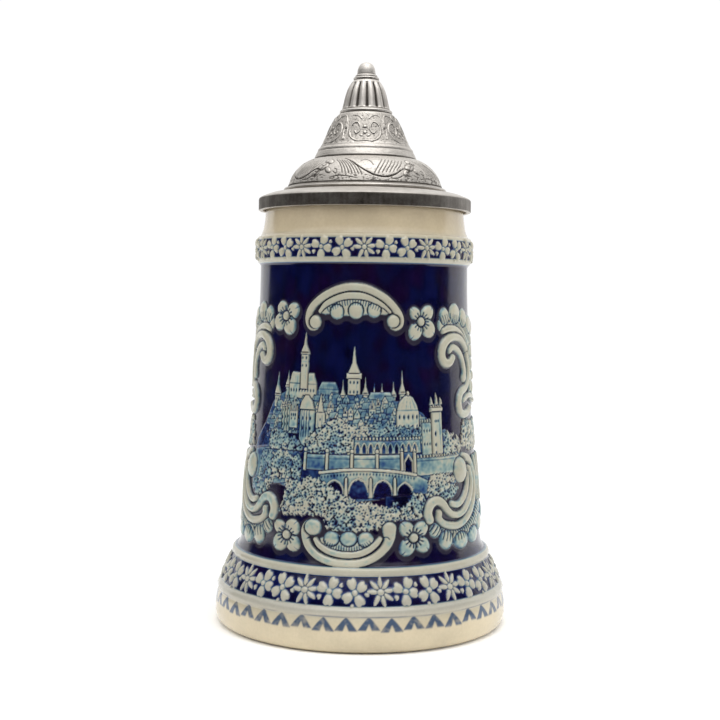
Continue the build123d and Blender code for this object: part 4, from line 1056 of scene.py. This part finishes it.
# -- domed base
dome = [(29.9, 167.7)] + [tuple(q) for q in curve([(29.9, 167.7), (29.1, 170.0), (28.2, 172.0), (26.8, 174.0), (24.8, 176.0), (22.8, 177.3), (21.1, 178.1), (19.7, 178.3)])[1:]]
dp = Plate(dome, 0.12, 0.3, 0.47)
for k in range(5):
    o = k * 72.0
    o = o if o < 180 else o - 360

    def q(*pts):
        return [(t + o, z) for t, z in pts]

    dp.lump(-30 + o, 173.6, 2.2, 1.5, 0.45, 35)
    dp.lump(-26.5 + o, 175.6, 1.9, 1.3, 0.42, -20)
    dp.lump(-34.5 + o, 171.4, 1.6, 1.1, 0.36, 60)
    dp.lump(-24.5 + o, 172.2, 1.5, 0.9, 0.36, -50)
    dp.line(q((-36, 169.8), (-31, 172.4), (-26, 175.8)), 0.17, 0.22, 0.75)
    dp.line(q((-33, 174.6), (-30, 173.6), (-27, 174.0)), 0.15, 0.2, 0.7)
    for i in range(7):
        a = -21 + i * 2.5
        dp.line(q((a, 176.4 - 0.12 * i), (a + 4.2, 175.0 - 0.18 * i), (a + 7.4, 172.9 - 0.22 * i), (a + 8.6, 171.0 - 0.12 * i)), [0.11, 0.2, 0.16], 0.24, 0.85)
    dp.line(q((-14, 176.9), (-8, 175.9), (-2, 174.1), (4, 172.2), (9, 170.8), (14, 169.9), (19, 169.6), (24, 170.0), (29, 171.0), (33, 172.3), (36.6, 173.0), (39, 172.4), (38.4, 171.4), (36.6, 171.6)),
            [0.14, 0.26, 0.28, 0.28, 0.26, 0.2], 0.36, 1.0)
    for i in range(7):
        a = 20 + i * 3.0
        dp.line(q((a, 176.6 - 0.1 * i), (a - 3.4, 174.6 - 0.05 * i), (a - 6.4, 172.4 + 0.12 * i), (a - 8.2, 170.7 + 0.2 * i)), [0.12, 0.2, 0.13], 0.24, 0.85)
    dp.line(q((1, 175.6), (5, 176.3), (9, 175.7), (11.6, 174.1)), [0.12, 0.22, 0.14], 0.24, 0.8)
    dp.line(q((10.5, 177.2), (15, 177.5), (19.6, 177.0)), 0.16, 0.2, 0.75)
    dp.line(q((24, 169.0), (29, 169.1), (33, 170.0), (34.4, 171.0)), [0.12, 0.2, 0.14], 0.22, 0.8)
    dp.line(q((-22, 169.2), (-15, 169.9), (-8, 169.6), (-2, 169.0)), [0.12, 0.2, 0.14], 0.2, 0.75)
    dp.line(q((-20, 171.6), (-17.4, 170.8), (-17.2, 172.2), (-19.2, 172.6)), 0.16, 0.22, 0.8)
dp.stipple(167.9, 170.6, 0.5, 0.10, 0.55, 41)
dp.stipple(170.6, 178.0, 0.42, 0.035, 0.18, 42)
dp.c[dp.S < 0.5] = np.maximum(dp.c[dp.S < 0.5], 0.75)

lid_out = [(39.3, 158.4), (40.7, 158.4), (40.91, 158.49), (41.0, 158.7), (41.0, 162.5), (40.9, 162.9), (40.7, 163.2), (40.35, 163.45), (39.9, 163.7)]
lid_out += [tuple(q) for q in curve([(39.9, 163.7), (36.4, 165.0), (32.6, 165.7)])[1:]]
lid_out += [(31.2, 165.62), (30.8, 165.75), (31.2, 166.1), (31.45, 166.6), (31.2, 167.1), (30.5, 167.4), (29.9, 167.7)]
lid_in = [(19.7, 178.3), (19.7, 176.4)] + [tuple(q) for q in curve([(19.7, 176.4), (23.3, 174.7), (26.1, 171.6), (27.7, 167.6), (29.4, 164.2)])[1:]]
lid_in += [(33.2, 163.5), (33.6, 160.25), (39.3, 160.25), (39.3, 158.4)]
LA = resample(lid_out, lambda z: 0.3 if z < 165.4 else 0.18)
LB = dp.p
LC = resample(lid_in, lambda z: 0.9)
lp = np.concatenate([LA[:-1], LB, LC[1:-1]])
t_l = np.arange(-180, 180, 0.4)
TL = np.broadcast_to(t_l[None], (len(lp), len(t_l)))
sl = np.full(len(lp), -1.0)
sl[len(LA) - 1:len(LA) - 1 + len(LB)] = dp.s
on = (sl >= 0)[:, None]
SLg = np.broadcast_to(np.maximum(sl, 0)[:, None], TL.shape)
hh = sample(dp.h, -180.0, dp.dt, 0.0, dp.ds, TL, SLg) * on
cc = sample(dp.c, -180.0, dp.dt, 0.0, dp.ds, TL, SLg) * on
# the profile's outward normal, to lift the relief along
d = np.gradient(lp, axis=0)
nrm = np.stack([d[:, 1], -d[:, 0]], 1) / (np.hypot(*d.T)[:, None] + 1e-9)
end = np.clip(np.minimum(np.maximum(sl, 0), dp.s[-1] - np.maximum(sl, 0)) / 0.5, 0, 1)[:, None]
rr = lp[:, 0][:, None] + nrm[:, 0][:, None] * hh * end
zz = lp[:, 1][:, None] + nrm[:, 1][:, None] * hh * end
g2 = np.random.default_rng(5)
# darkening: patina heavy in the step and light on the ledge; on the upright rim it is partly patina and partly a
# painted dark reflection
zc, rc = lp[:, 1], lp[:, 0]
darkening = np.zeros(len(lp))
nA_ = len(LA)
idx = np.arange(len(lp))
outr = idx < nA_ - 1
darkening = np.where(outr & (zc > 158.45) & (zc < 162.9), 0.80, darkening)
darkening = np.where(outr & (zc >= 162.9) & (zc < 163.6), 0.15, darkening)
darkening = np.where(outr & (zc >= 165.5) & (zc <= 165.95) & (rc < 31.9), 0.7, darkening)
darkening = np.where(outr & (zc > 167.15), 0.5, darkening)
darkening = np.where(idx >= nA_ - 1 + len(LB), 0.25, darkening)
# painted reflection: the darkening is strongest at the front (-Y) and falls off towards the right and left sides,
# standing in for the dark surroundings mirrored in front; the small waves are uneven patina
lid_patina_and_painted_reflection = np.maximum(cc, darkening[:, None] * (0.85 - 0.24 * np.clip((TL - 14) / 40, 0, 1) * (np.abs(TL) < 120) - 0.10 * np.clip((-TL - 20) / 30, 0, 1) * (np.abs(TL) < 120) + 0.03 * np.sin(TL * 2.1) * np.sin(TL * 0.37) + 0.03 * np.sin(TL * 0.23 + np.sin(TL * 0.11) * 2)))
Pl = np.stack([rr * np.sin(np.radians(TL)), -rr * np.cos(np.radians(TL)), zz], -1)
cl = np.r_[0, np.cumsum(np.hypot(*np.diff(lp, axis=0).T))]
lid = grid_object("lid_dome", Pl, 0.01 + 0.97 * cl / (cl[-1] + 1.0), loop=True, attrs={"PewterDark": lid_patina_and_painted_reflection}, mats=[pewter])
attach(lid, "lid")
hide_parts("lid_base")

# -- cone
cone = [(19.7, 178.45), (19.7, 179.0)] + [tuple(q) for q in curve([(19.7, 179.0), (19.2, 180.2), (18.3, 182.0), (17.0, 184.0), (15.85, 186.0), (14.95, 188.0), (14.15, 190.0), (13.2, 192.0), (12.0, 194.0), (11.1, 195.2), (10.4, 195.9)])[1:]]
cp = Plate(cone, 0.11, 0.45, 0.26)
for k in range(6):
    o = k * 60.0 + 4.0
    o = o if o < 180 else o - 360

    def q(*pts):
        return [(t + o, z) for t, z in pts]

    for s in (-1, 1):
        cp.line(q((0, 184.2), (s * 10, 184.0), (s * 19, 185.4), (s * 23, 188.0), (s * 20, 190.6), (s * 13, 191.4), (s * 8, 190.0), (s * 8, 188.0), (s * 12, 187.0), (s * 15, 187.8)), 0.2, -0.26, 0.0)
        cp.line(q((s * 29, 185.0), (s * 27, 188.4), (s * 29, 192.0), (s * 23, 194.2), (s * 13, 194.0), (s * 6, 192.8)), 0.17, -0.22, 0.0)
        cp.line(q((s * 4, 194.6), (s * 7, 193.8), (s * 5, 192.6)), 0.15, -0.2, 0.0)
        cp.lump(s * 5 + o, 186.2, 0.7, 0.55, 0.26, s * 40)
    cp.lump(o, 187.4, 0.62, 0.8, 0.3)
    cp.lump(o, 189.6, 0.8, 0.7, 0.32)
    cp.lump(30 + o if 30 + o < 180 else o - 330, 190.0, 0.6, 1.1, 0.24)
keep = 1.0 - 0.85 * sm(0.03, 0.16, cp.h)
cp.c = np.maximum(cp.c, 0.20 * (1 - sm(0.0, 0.12, cp.h)) * (sm(cp.to_s(183.4), cp.to_s(184.4), cp.S) * (1 - sm(cp.to_s(194.8), cp.to_s(195.6), cp.S)))[:, None])
cp.stipple(183.2, 195.4, 0.42, 0.10, 0.42, 43, keep)
cp.stipple(179.2, 183.2, 0.36, 0.035, 0.10, 44)
for z, dpt, dk in ((181.3, 0.13, 0.16), (183.0, 0.10, 0.14)):
    cp.h -= dpt * np.exp(-((cp.S - cp.to_s(z)) / 0.22) ** 2)[:, None]
    cp.c = np.maximum(cp.c, dk * np.exp(-((cp.S - cp.to_s(z)) / 0.25) ** 2)[:, None] + 0 * cp.c)
cp.h += 0.14 * np.exp(-((cp.S - cp.to_s(182.1)) / 0.42) ** 2)[:, None]
cp.c = np.maximum(cp.c, (0.75 * (1 - sm(0, 0.5, cp.S)))[:, None] + 0 * cp.c)
cone_in = [(10.4, 195.9), (9.6, 196.1), (5, 196.1), (0.6, 196.1)]
cone_under = [(0.6, 194.3), (5, 194.3), (8.6, 194.3)] + [tuple(q) for q in curve([(8.6, 194.3), (11.4, 191.8), (13.0, 188.2), (14.6, 184.6), (16.4, 181.2), (17.9, 178.0)])[1:]] + [(17.9, 176.4), (19.66, 176.4), (19.66, 178.3), (19.7, 178.45)]
CA = resample(cone_under, lambda z: 1.0)
CB = cp.p
CC = resample(cone_in, lambda z: 0.8)
cpz = np.concatenate([CA[:-1], CB, CC[1:]])
t_c = np.arange(-180, 180, 0.5)
TC = np.broadcast_to(t_c[None], (len(cpz), len(t_c)))
sc = np.full(len(cpz), -1.0)
sc[len(CA) - 1:len(CA) - 1 + len(CB)] = cp.s
on = (sc >= 0)[:, None]
SC = np.broadcast_to(np.maximum(sc, 0)[:, None], TC.shape)
end = np.clip(np.minimum(np.maximum(sc, 0), cp.s[-1] - np.maximum(sc, 0)) / 0.4, 0, 1)[:, None]
hh = sample(cp.h, -180.0, cp.dt, 0.0, cp.ds, TC, SC) * on * end
cc = sample(cp.c, -180.0, cp.dt, 0.0, cp.ds, TC, SC) * on
cc = np.where(on, cc, 0.35)
d = np.gradient(cpz, axis=0)
nrm = np.stack([d[:, 1], -d[:, 0]], 1) / (np.hypot(*d.T)[:, None] + 1e-9)
rr = cpz[:, 0][:, None] + nrm[:, 0][:, None] * hh
zz = cpz[:, 1][:, None] + nrm[:, 1][:, None] * hh
Pc = np.stack([rr * np.sin(np.radians(TC)), -rr * np.cos(np.radians(TC)), zz], -1)
cl = np.r_[0, np.cumsum(np.hypot(*np.diff(cpz, axis=0).T))]
conep = grid_object("lid_cone_cast", Pc, 0.02 + 0.96 * cl / cl[-1], cap0=(0, 0, 194.3), cap1=(0, 0, 196.1), attrs={"PewterDark": cc}, mats=[pewter])
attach(conep, "lid")
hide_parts("lid_cone")

# -- finial: foot ring, fluted spire, collar and tip
fin = [(0.5, 196.1), (5, 196.1), (9.8, 196.1), (10.08, 196.35), (10.2, 196.75), (10.08, 197.15), (9.8, 197.4), (9.5, 197.45), (9.35, 197.6)]
fin += [tuple(q) for q in curve([(9.35, 197.6), (8.75, 200.0), (8.3, 202.0), (7.75, 204.0), (7.0, 206.0), (5.8, 208.0), (4.7, 209.2)])[1:]]
fin += [(4.9, 209.4), (5.0, 209.65), (4.9, 210.0), (4.55, 210.25), (4.2, 210.3), (4.3, 210.6), (4.15, 211.0), (3.6, 211.3)]
fin += [tuple(q) for q in curve([(3.6, 211.3), (3.52, 212.2), (3.3, 213.4), (2.8, 214.6), (2.1, 215.4), (1.2, 215.85), (0.5, 215.98)])[1:]]
FP = resample(fin, lambda z: 0.16 if z > 196.2 else 0.6)
FP[:, 1] = np.maximum(FP[:, 1], 196.1)
t_f = np.arange(-180, 180, 0.75)
TF = np.broadcast_to(t_f[None], (len(FP), len(t_f)))
ZF = np.broadcast_to(FP[:, 1][:, None], TF.shape)
per_f = 360.0 / 14
ft = (TF - 7.5 + per_f / 2) % per_f - per_f / 2
half = 4.1 + 0.25 * np.sin(np.floor((TF - 7.5 + per_f / 2) / per_f) * 2.7)
top = 208.15 - 1.5 * (np.abs(ft) / half) ** 2
gw = sm(197.75, 198.3, ZF) * (1 - sm(top - 0.7, top, ZF)) * (1 - sm(half - 1.7, half, np.abs(ft)))
ribw = sm(197.75, 198.5, ZF) * (1 - sm(207.4, 208.6, ZF))
depth = 0.66 * gw + 0.42 * ribw * (1 - sm(half * 0.7, per_f / 2 - 1.0, np.abs(ft)))
rr = FP[:, 0][:, None] - depth
cf = np.clip(gw * 1.05, 0, 1) * 0.60 + 0.16 * ribw * (1 - sm(half * 0.8, per_f / 2 - 1.5, np.abs(ft)))
cf = np.maximum(cf, 0.75 * np.exp(-((ZF - 197.65) / 0.22) ** 2))
cf = np.maximum(cf, 0.6 * np.exp(-((ZF - 209.15) / 0.25) ** 2))
cf = np.maximum(cf, 0.55 * np.exp(-((ZF - 210.35) / 0.16) ** 2))
cf = np.maximum(cf, 0.5 * np.exp(-((ZF - 211.35) / 0.2) ** 2))
cf = np.maximum(cf, 0.6 * (1 - sm(196.1, 196.5, ZF)))
Pf = np.stack([rr * np.sin(np.radians(TF)), -rr * np.cos(np.radians(TF)), ZF], -1)
cl = np.r_[0, np.cumsum(np.hypot(*np.diff(FP, axis=0).T))]
finp = grid_object("finial_cast", Pf, 0.02 + 0.96 * cl / cl[-1], cap0=(0, 0, 196.1), cap1=(0, 0, 216.0), attrs={"PewterDark": cf}, mats=[pewter_painted_highlight])
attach(finp, "lid")
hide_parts("finial")

# ---------------------------------------------------------------- the handle
def arc(y, z, a, r, turn, n):
    """A right-hand turn from (y, z), heading a degrees."""
    cy, cz = y + r * math.sin(math.radians(a)), z - r * math.cos(math.radians(a))
    return [(cy - r * math.sin(math.radians(a - turn * k / n)), cz + r * math.cos(math.radians(a - turn * k / n))) for k in range(1, n + 1)]


hp = [(39.2, 143.2), (60.0, 143.2)]
hd = 0.0
for r_, t_ in ((20.0, 85), (62.0, 40), (75.0, 27)):
    hp += arc(*hp[-1], hd, r_, t_, 40)
    hd -= t_
hp.append((hp[-1][0] + 4 * math.cos(math.radians(hd)), hp[-1][1] + 4 * math.sin(math.radians(hd))))
hp = np.array(hp)
hs = np.r_[0, np.cumsum(np.hypot(*np.diff(hp, axis=0).T))]
wall = np.interp(hp[:, 1], [60, 70, 80, 90, 100, 110, 143], [44.4, 43.3, 42.4, 41.8, 41.3, 40.85, 41.4])
inside = np.where((hs > 40) & (hp[:, 0] < wall - 1.7))[0]
s_end = hs[inside[0]] if len(inside) else hs[-1]
step_h = 0.4
su = np.linspace(0, s_end, int(s_end / step_h))
cy, cz = np.interp(su, hs, hp[:, 0]), np.interp(su, hs, hp[:, 1])
ty, tz_ = np.gradient(cy), np.gradient(cz)
ty, tz_ = blur(np.stack([ty] * 3).astype(np.float32), 0.01)[1], blur(np.stack([tz_] * 3).astype(np.float32), 0.01)[1]
tl = np.hypot(ty, tz_)
ty, tz_ = ty / tl, tz_ / tl
# the section, 18 x 10 with 4.2 mm corners, walked round from the middle of its outer face
q_ = []
for cx, cn, a0 in ((4.8, 0.8, 90), (4.8, -0.8, 0), (-4.8, -0.8, -90), (-4.8, 0.8, -180)):
    q_ += [(cx + 4.2 * math.cos(math.radians(a0 - k * 9)), cn + 4.2 * math.sin(math.radians(a0 - k * 9))) for k in range(11)]
q_ = np.array([(0.0, 5.0)] + q_ + [(0.0, 5.0)])
qs = np.r_[0, np.cumsum(np.hypot(*np.diff(q_, axis=0).T))]
uu = np.linspace(0, qs[-1], 161)[:-1]
sx, sn = np.interp(uu, qs, q_[:, 0]), np.interp(uu, qs, q_[:, 1])
S_, X_ = np.meshgrid(su, sx, indexing="ij")
N_ = np.broadcast_to(sn[None], S_.shape)
free = sm(20.5, 23.5, S_)                        # past the strap, where the section may swell and carry ornament
flare = 1 + 0.24 * np.exp(-((S_ - 2.0) / 2.6) ** 2) + 0.28 * np.exp(-((s_end - S_ - 1.5) / 4.0) ** 2) + free * (0.02 * np.sin(S_ / 9.0)) - 0.08 * sm(50, s_end - 12, S_)
outer = sm(3.6, 4.6, N_) * (np.abs(X_) < 9)
edge_g = np.exp(-((np.abs(X_) - 5.5) / 0.42) ** 2) * outer
mid = free * (1 - sm(s_end - 12, s_end - 8, S_))
ph = (S_ - 26) / 6.4
leaf_u = ph - np.floor(ph)
leaf_w = 3.9 * np.sqrt(np.clip(1 - leaf_u ** 1.8, 0, 1)) * sm(0.0, 0.06, leaf_u)
leaf_in = sm(0.0, 0.5, leaf_w - np.abs(X_))
vein = np.exp(-(np.mod(ph * 5 + np.abs(X_) * 0.55, 1) - 0.5) ** 2 / 0.03) * (np.abs(X_) > 0.5)
rim_l = np.exp(-((leaf_w - np.abs(X_)) / 0.38) ** 2)
H_h = mid * outer * (0.42 * leaf_in - 0.2 * vein * leaf_in) - 0.42 * edge_g * mid
P_h = np.clip(mid * outer * (np.abs(X_) < 5.2) * (0.95 * (1 - leaf_in) + 0.34 * vein * leaf_in + 0.5 * rim_l) + mid * edge_g * 0.8, 0, 1)
P_h = np.maximum(P_h, 0.5 * np.exp(-((S_ - 1.7) / 1.2) ** 2))
P_h = np.maximum(P_h, 0.6 * np.exp(-((s_end - S_ - 1.6) / 1.3) ** 2))
ln = np.hypot(sx, sn)
nx, nn = np.gradient(sn), -np.gradient(sx)
nl = np.hypot(nx, nn) + 1e-9
nx, nn = -nx / nl, -nn / nl
flip = np.sign((nx * sx + nn * sn).sum())
nx, nn = nx * flip, nn * flip
XX = X_ * flare + nx[None] * H_h
NN = N_ * flare + nn[None] * H_h
Ph = np.stack([XX, cy[:, None] - NN * tz_[:, None], cz[:, None] + NN * ty[:, None]], -1)
gh = np.random.default_rng(12).standard_normal(S_.shape).astype(np.float32)
gh = blur(gh, 4.0)
gh = gh / gh.std()
Ch = ramp(np.clip(P_h + 0.05 * gh * mid * outer, 0, 1), [(0.0, lin(186, 174, 148))] + GLAZE[1:])
Ch = np.concatenate([Ch, np.ones(S_.shape + (1,))], -1)
hand = grid_object("handle_cast", Ph, 0.02 + 0.96 * su / s_end, cap0=tuple(Ph[0].mean(0)), cap1=tuple(Ph[-1].mean(0)), attrs={"Col": Ch}, mats=[handle_glaze])
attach(hand, "mug")
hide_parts("handle")

# ---------------------------------------------------------------- the thumb lift: a fan of ribs on a waisted stem
zt = np.unique(np.r_[np.arange(164.4, 193.4, 0.3), np.arange(193.4, 194.05, 0.1)])
fr_y = curve([(42.6, 164.2), (43.6, 169.2), (46.2, 175.2), (48.8, 182.2), (49.8, 188.8), (49.4, 193.4), (50.2, 194.2)], 8)
bk_y = curve([(48.9, 164.2), (49.2, 169.4), (50.2, 174.6), (52.2, 181.8), (52.8, 188.2), (51.4, 194.2)], 8)
wd_ = curve([(4.6, 164.2), (4.6, 167.2), (3.4, 170.8), (4.6, 174.8), (8.8, 178.6), (11.0, 183.8), (9.2, 189.4), (4.8, 192.8), (1.2, 194.05)], 8)
yf = np.interp(zt, [v[1] for v in fr_y], [v[0] for v in fr_y])
yb = np.interp(zt, [v[1] for v in bk_y], [v[0] for v in bk_y])
hw = np.interp(zt, [v[1] for v in wd_], [v[0] for v in wd_])
NT = 140
at_ = np.linspace(0, 2 * math.pi, NT, endpoint=False)
ca, sa = np.cos(at_), np.sin(at_)
ex = np.sign(ca) * np.abs(ca) ** 0.55
ey = np.sign(sa) * np.abs(sa) ** 0.6
XT = hw[:, None] * ex[None]
ZT = np.broadcast_to(zt[:, None], XT.shape)
fan_a = np.degrees(np.arctan2(XT, ZT - 171.5))
fan_r = np.hypot(XT, ZT - 171.5)
in_fan = sm(5.0, 7.5, fan_r) * sm(172.5, 175.0, ZT)
rib = np.abs(np.sin(np.radians(fan_a) * 5.2))
groove = (1 - rib) ** 2.2 * in_fan
curl_d = np.hypot(np.abs(XT) - 5.4, ZT - 177.0)
curl = np.exp(-((curl_d - 2.0) / 0.35) ** 2) * 0.8 + np.exp(-(curl_d / 0.7) ** 2)
stemg = np.exp(-((np.abs(XT) - 2.0) / 0.35) ** 2) * (1 - sm(171.5, 173.0, ZT)) * sm(165.2, 166.0, ZT)
face_w = np.clip(np.abs(ey)[None], 0, 1) ** 0.5
dd = (0.42 * groove + 0.3 * curl * (ZT > 173) + 0.28 * stemg) * face_w
ym, yh = ((yf + yb) / 2)[:, None], ((yb - yf) / 2)[:, None]
YT = ym - (yh - dd) * ey[None]
Pt = np.stack([XT, YT, ZT + 0 * XT], -1)
ct_ = np.clip(0.95 * groove + 0.8 * curl * (ZT > 173) + 0.7 * stemg + 0.12 + 0.4 * (1 - sm(164.4, 166.6, ZT)), 0, 1) * face_w
ct_ = np.maximum(ct_, 0.12)
lift = grid_object("thumb_lift_cast", Pt, 0.02 + 0.96 * (zt - zt[0]) / (zt[-1] - zt[0]), cap0=tuple(Pt[0].mean(0)), cap1=(0, float((yf[-1] + yb[-1]) / 2), 194.15), attrs={"PewterDark": ct_}, mats=[pewter])
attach(lift, "lid")
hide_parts("thumb_lift")

# ---------------------------------------------------------------- CAD nodes that stay
for name, m in (("handle_strap", pewter_plain), ("hinge_shank", pewter_plain), ("hinge_pin", steel), ("hinge_pin_caps", pewter_plain),
                ("lid_tang", pewter_plain)):
    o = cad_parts[name]
    if not o.material_slots:
        o.data.materials.append(m)
    for sl_ in o.material_slots:
        sl_.material = m

# ---------------------------------------------------------------- floor, lights, camera
def studio_mat(name, c, rough=0.9):
    m, nt, p = new_mat(name)
    obj = nt.nodes.new("ShaderNodeTexCoord").outputs["Object"]
    n = noise_node(nt, obj, 3.0, 2.0)
    nt.links.new(mix_col(nt, n, tuple(x * 0.99 for x in c), c), p.inputs["Base Color"])
    p.inputs["Roughness"].default_value = rough
    p.inputs["Specular IOR Level"].default_value = 0.1
    return m


def disc(name, radius, z, mat, n=96):
    t = np.linspace(0, 2 * math.pi, n, endpoint=False)
    me = bpy.data.meshes.new(name)
    me.from_pydata([(radius * math.cos(a), radius * math.sin(a), z) for a in t], [], [list(range(n))])
    me.materials.append(mat)
    o = bpy.data.objects.new(name, me)
    bpy.context.scene.collection.objects.link(o)
    return o


floor = disc("floor", 30.0, 0.0, studio_mat("floor_paper", (0.99, 0.99, 0.99)))

# black flags in front of the object, out of every view, so that the pewter and the glaze have something dark to mirror
fm, fnt, fp_ = new_mat("flag_cloth")
fp_.inputs["Base Color"].default_value = (0.012, 0.012, 0.014, 1)
fp_.inputs["Roughness"].default_value = 1.0
n = 24
vs, fs = [], []
for i in range(n + 1):
    a = math.radians(-122 + 232 * i / n)
    for z in (0.0, 0.98):
        vs.append((1.3 * math.sin(a), -1.3 * math.cos(a), z))
for i in range(n):
    fs.append((2 * i, 2 * i + 2, 2 * i + 3, 2 * i + 1))
me = bpy.data.meshes.new("flag")
me.from_pydata(vs, [], fs)
me.materials.append(fm)
flag = bpy.data.objects.new("flag", me)
bpy.context.scene.collection.objects.link(flag)
flag.visible_camera = False
# dark cloth on the floor in front, seen only in reflections
vs, fs = [], []
for i in range(n + 1):
    a = math.radians(-80 + 160 * i / n)
    for r_ in (0.17, 1.28):
        vs.append((r_ * math.sin(a), -r_ * math.cos(a), 0.001))
for i in range(n):
    fs.append((2 * i, 2 * i + 1, 2 * i + 3, 2 * i + 2))
me = bpy.data.meshes.new("cloth")
me.from_pydata(vs, [], fs)
me.materials.append(fm)
cloth = bpy.data.objects.new("cloth", me)
bpy.context.scene.collection.objects.link(cloth)
for k_ in ("visible_camera", "visible_diffuse", "visible_shadow", "visible_transmission"):
    setattr(cloth, k_, False)

bpy.context.scene.view_settings.view_transform = "Standard"
world = bpy.data.worlds.new("studio")
bpy.context.scene.world = world
world.use_nodes = True
bg = world.node_tree.nodes["Background"]
bg.inputs[0].default_value = (1.0, 1.0, 1.0, 1)
bg.inputs[1].default_value = 1.03


def area(name, loc, target, size, power, size_y=None, color=(1, 1, 1)):
    l = bpy.data.lights.new(name, "AREA")
    l.energy, l.color = power, color
    l.shape = "RECTANGLE"
    l.size, l.size_y = size, size_y or size
    o = bpy.data.objects.new(name, l)
    bpy.context.scene.collection.objects.link(o)
    from mathutils import Vector
    o.location = loc
    o.rotation_euler = (Vector(target) - Vector(loc)).to_track_quat("-Z", "Y").to_euler()
    return o


for l in (area("key_left", (-0.85, -0.5, 0.6), (0, 0, 0.08), 0.6, 4.2, 0.6), area("fill_right", (0.9, -0.45, 0.5), (0, 0, 0.08), 0.6, 4.4, 0.6)):
    l.visible_glossy = False
area("top", (0.1, -0.3, 1.1), (0, 0, 0.12), 0.9, 5.0)

cam_data = bpy.data.cameras.new("camera")
cam = bpy.data.objects.new("camera", cam_data)
bpy.context.scene.collection.objects.link(cam)
from mathutils import Matrix
a5 = math.radians(5.0)
cam_data.sensor_width, cam_data.lens = 36.0, 64.05
cam.matrix_world = (Matrix.Translation((0.4991 * math.sin(a5), -0.4991 * math.cos(a5), 0.1244)) @ Matrix.Rotation(a5 + math.radians(0.13), 4, "Z")
                    @ Matrix.Rotation(math.radians(90 - 2.672), 4, "X") @ Matrix.Rotation(math.radians(0.70), 4, "Z"))
cam_data.clip_start, cam_data.clip_end = 0.01, 100.0
bpy.context.scene.camera = cam
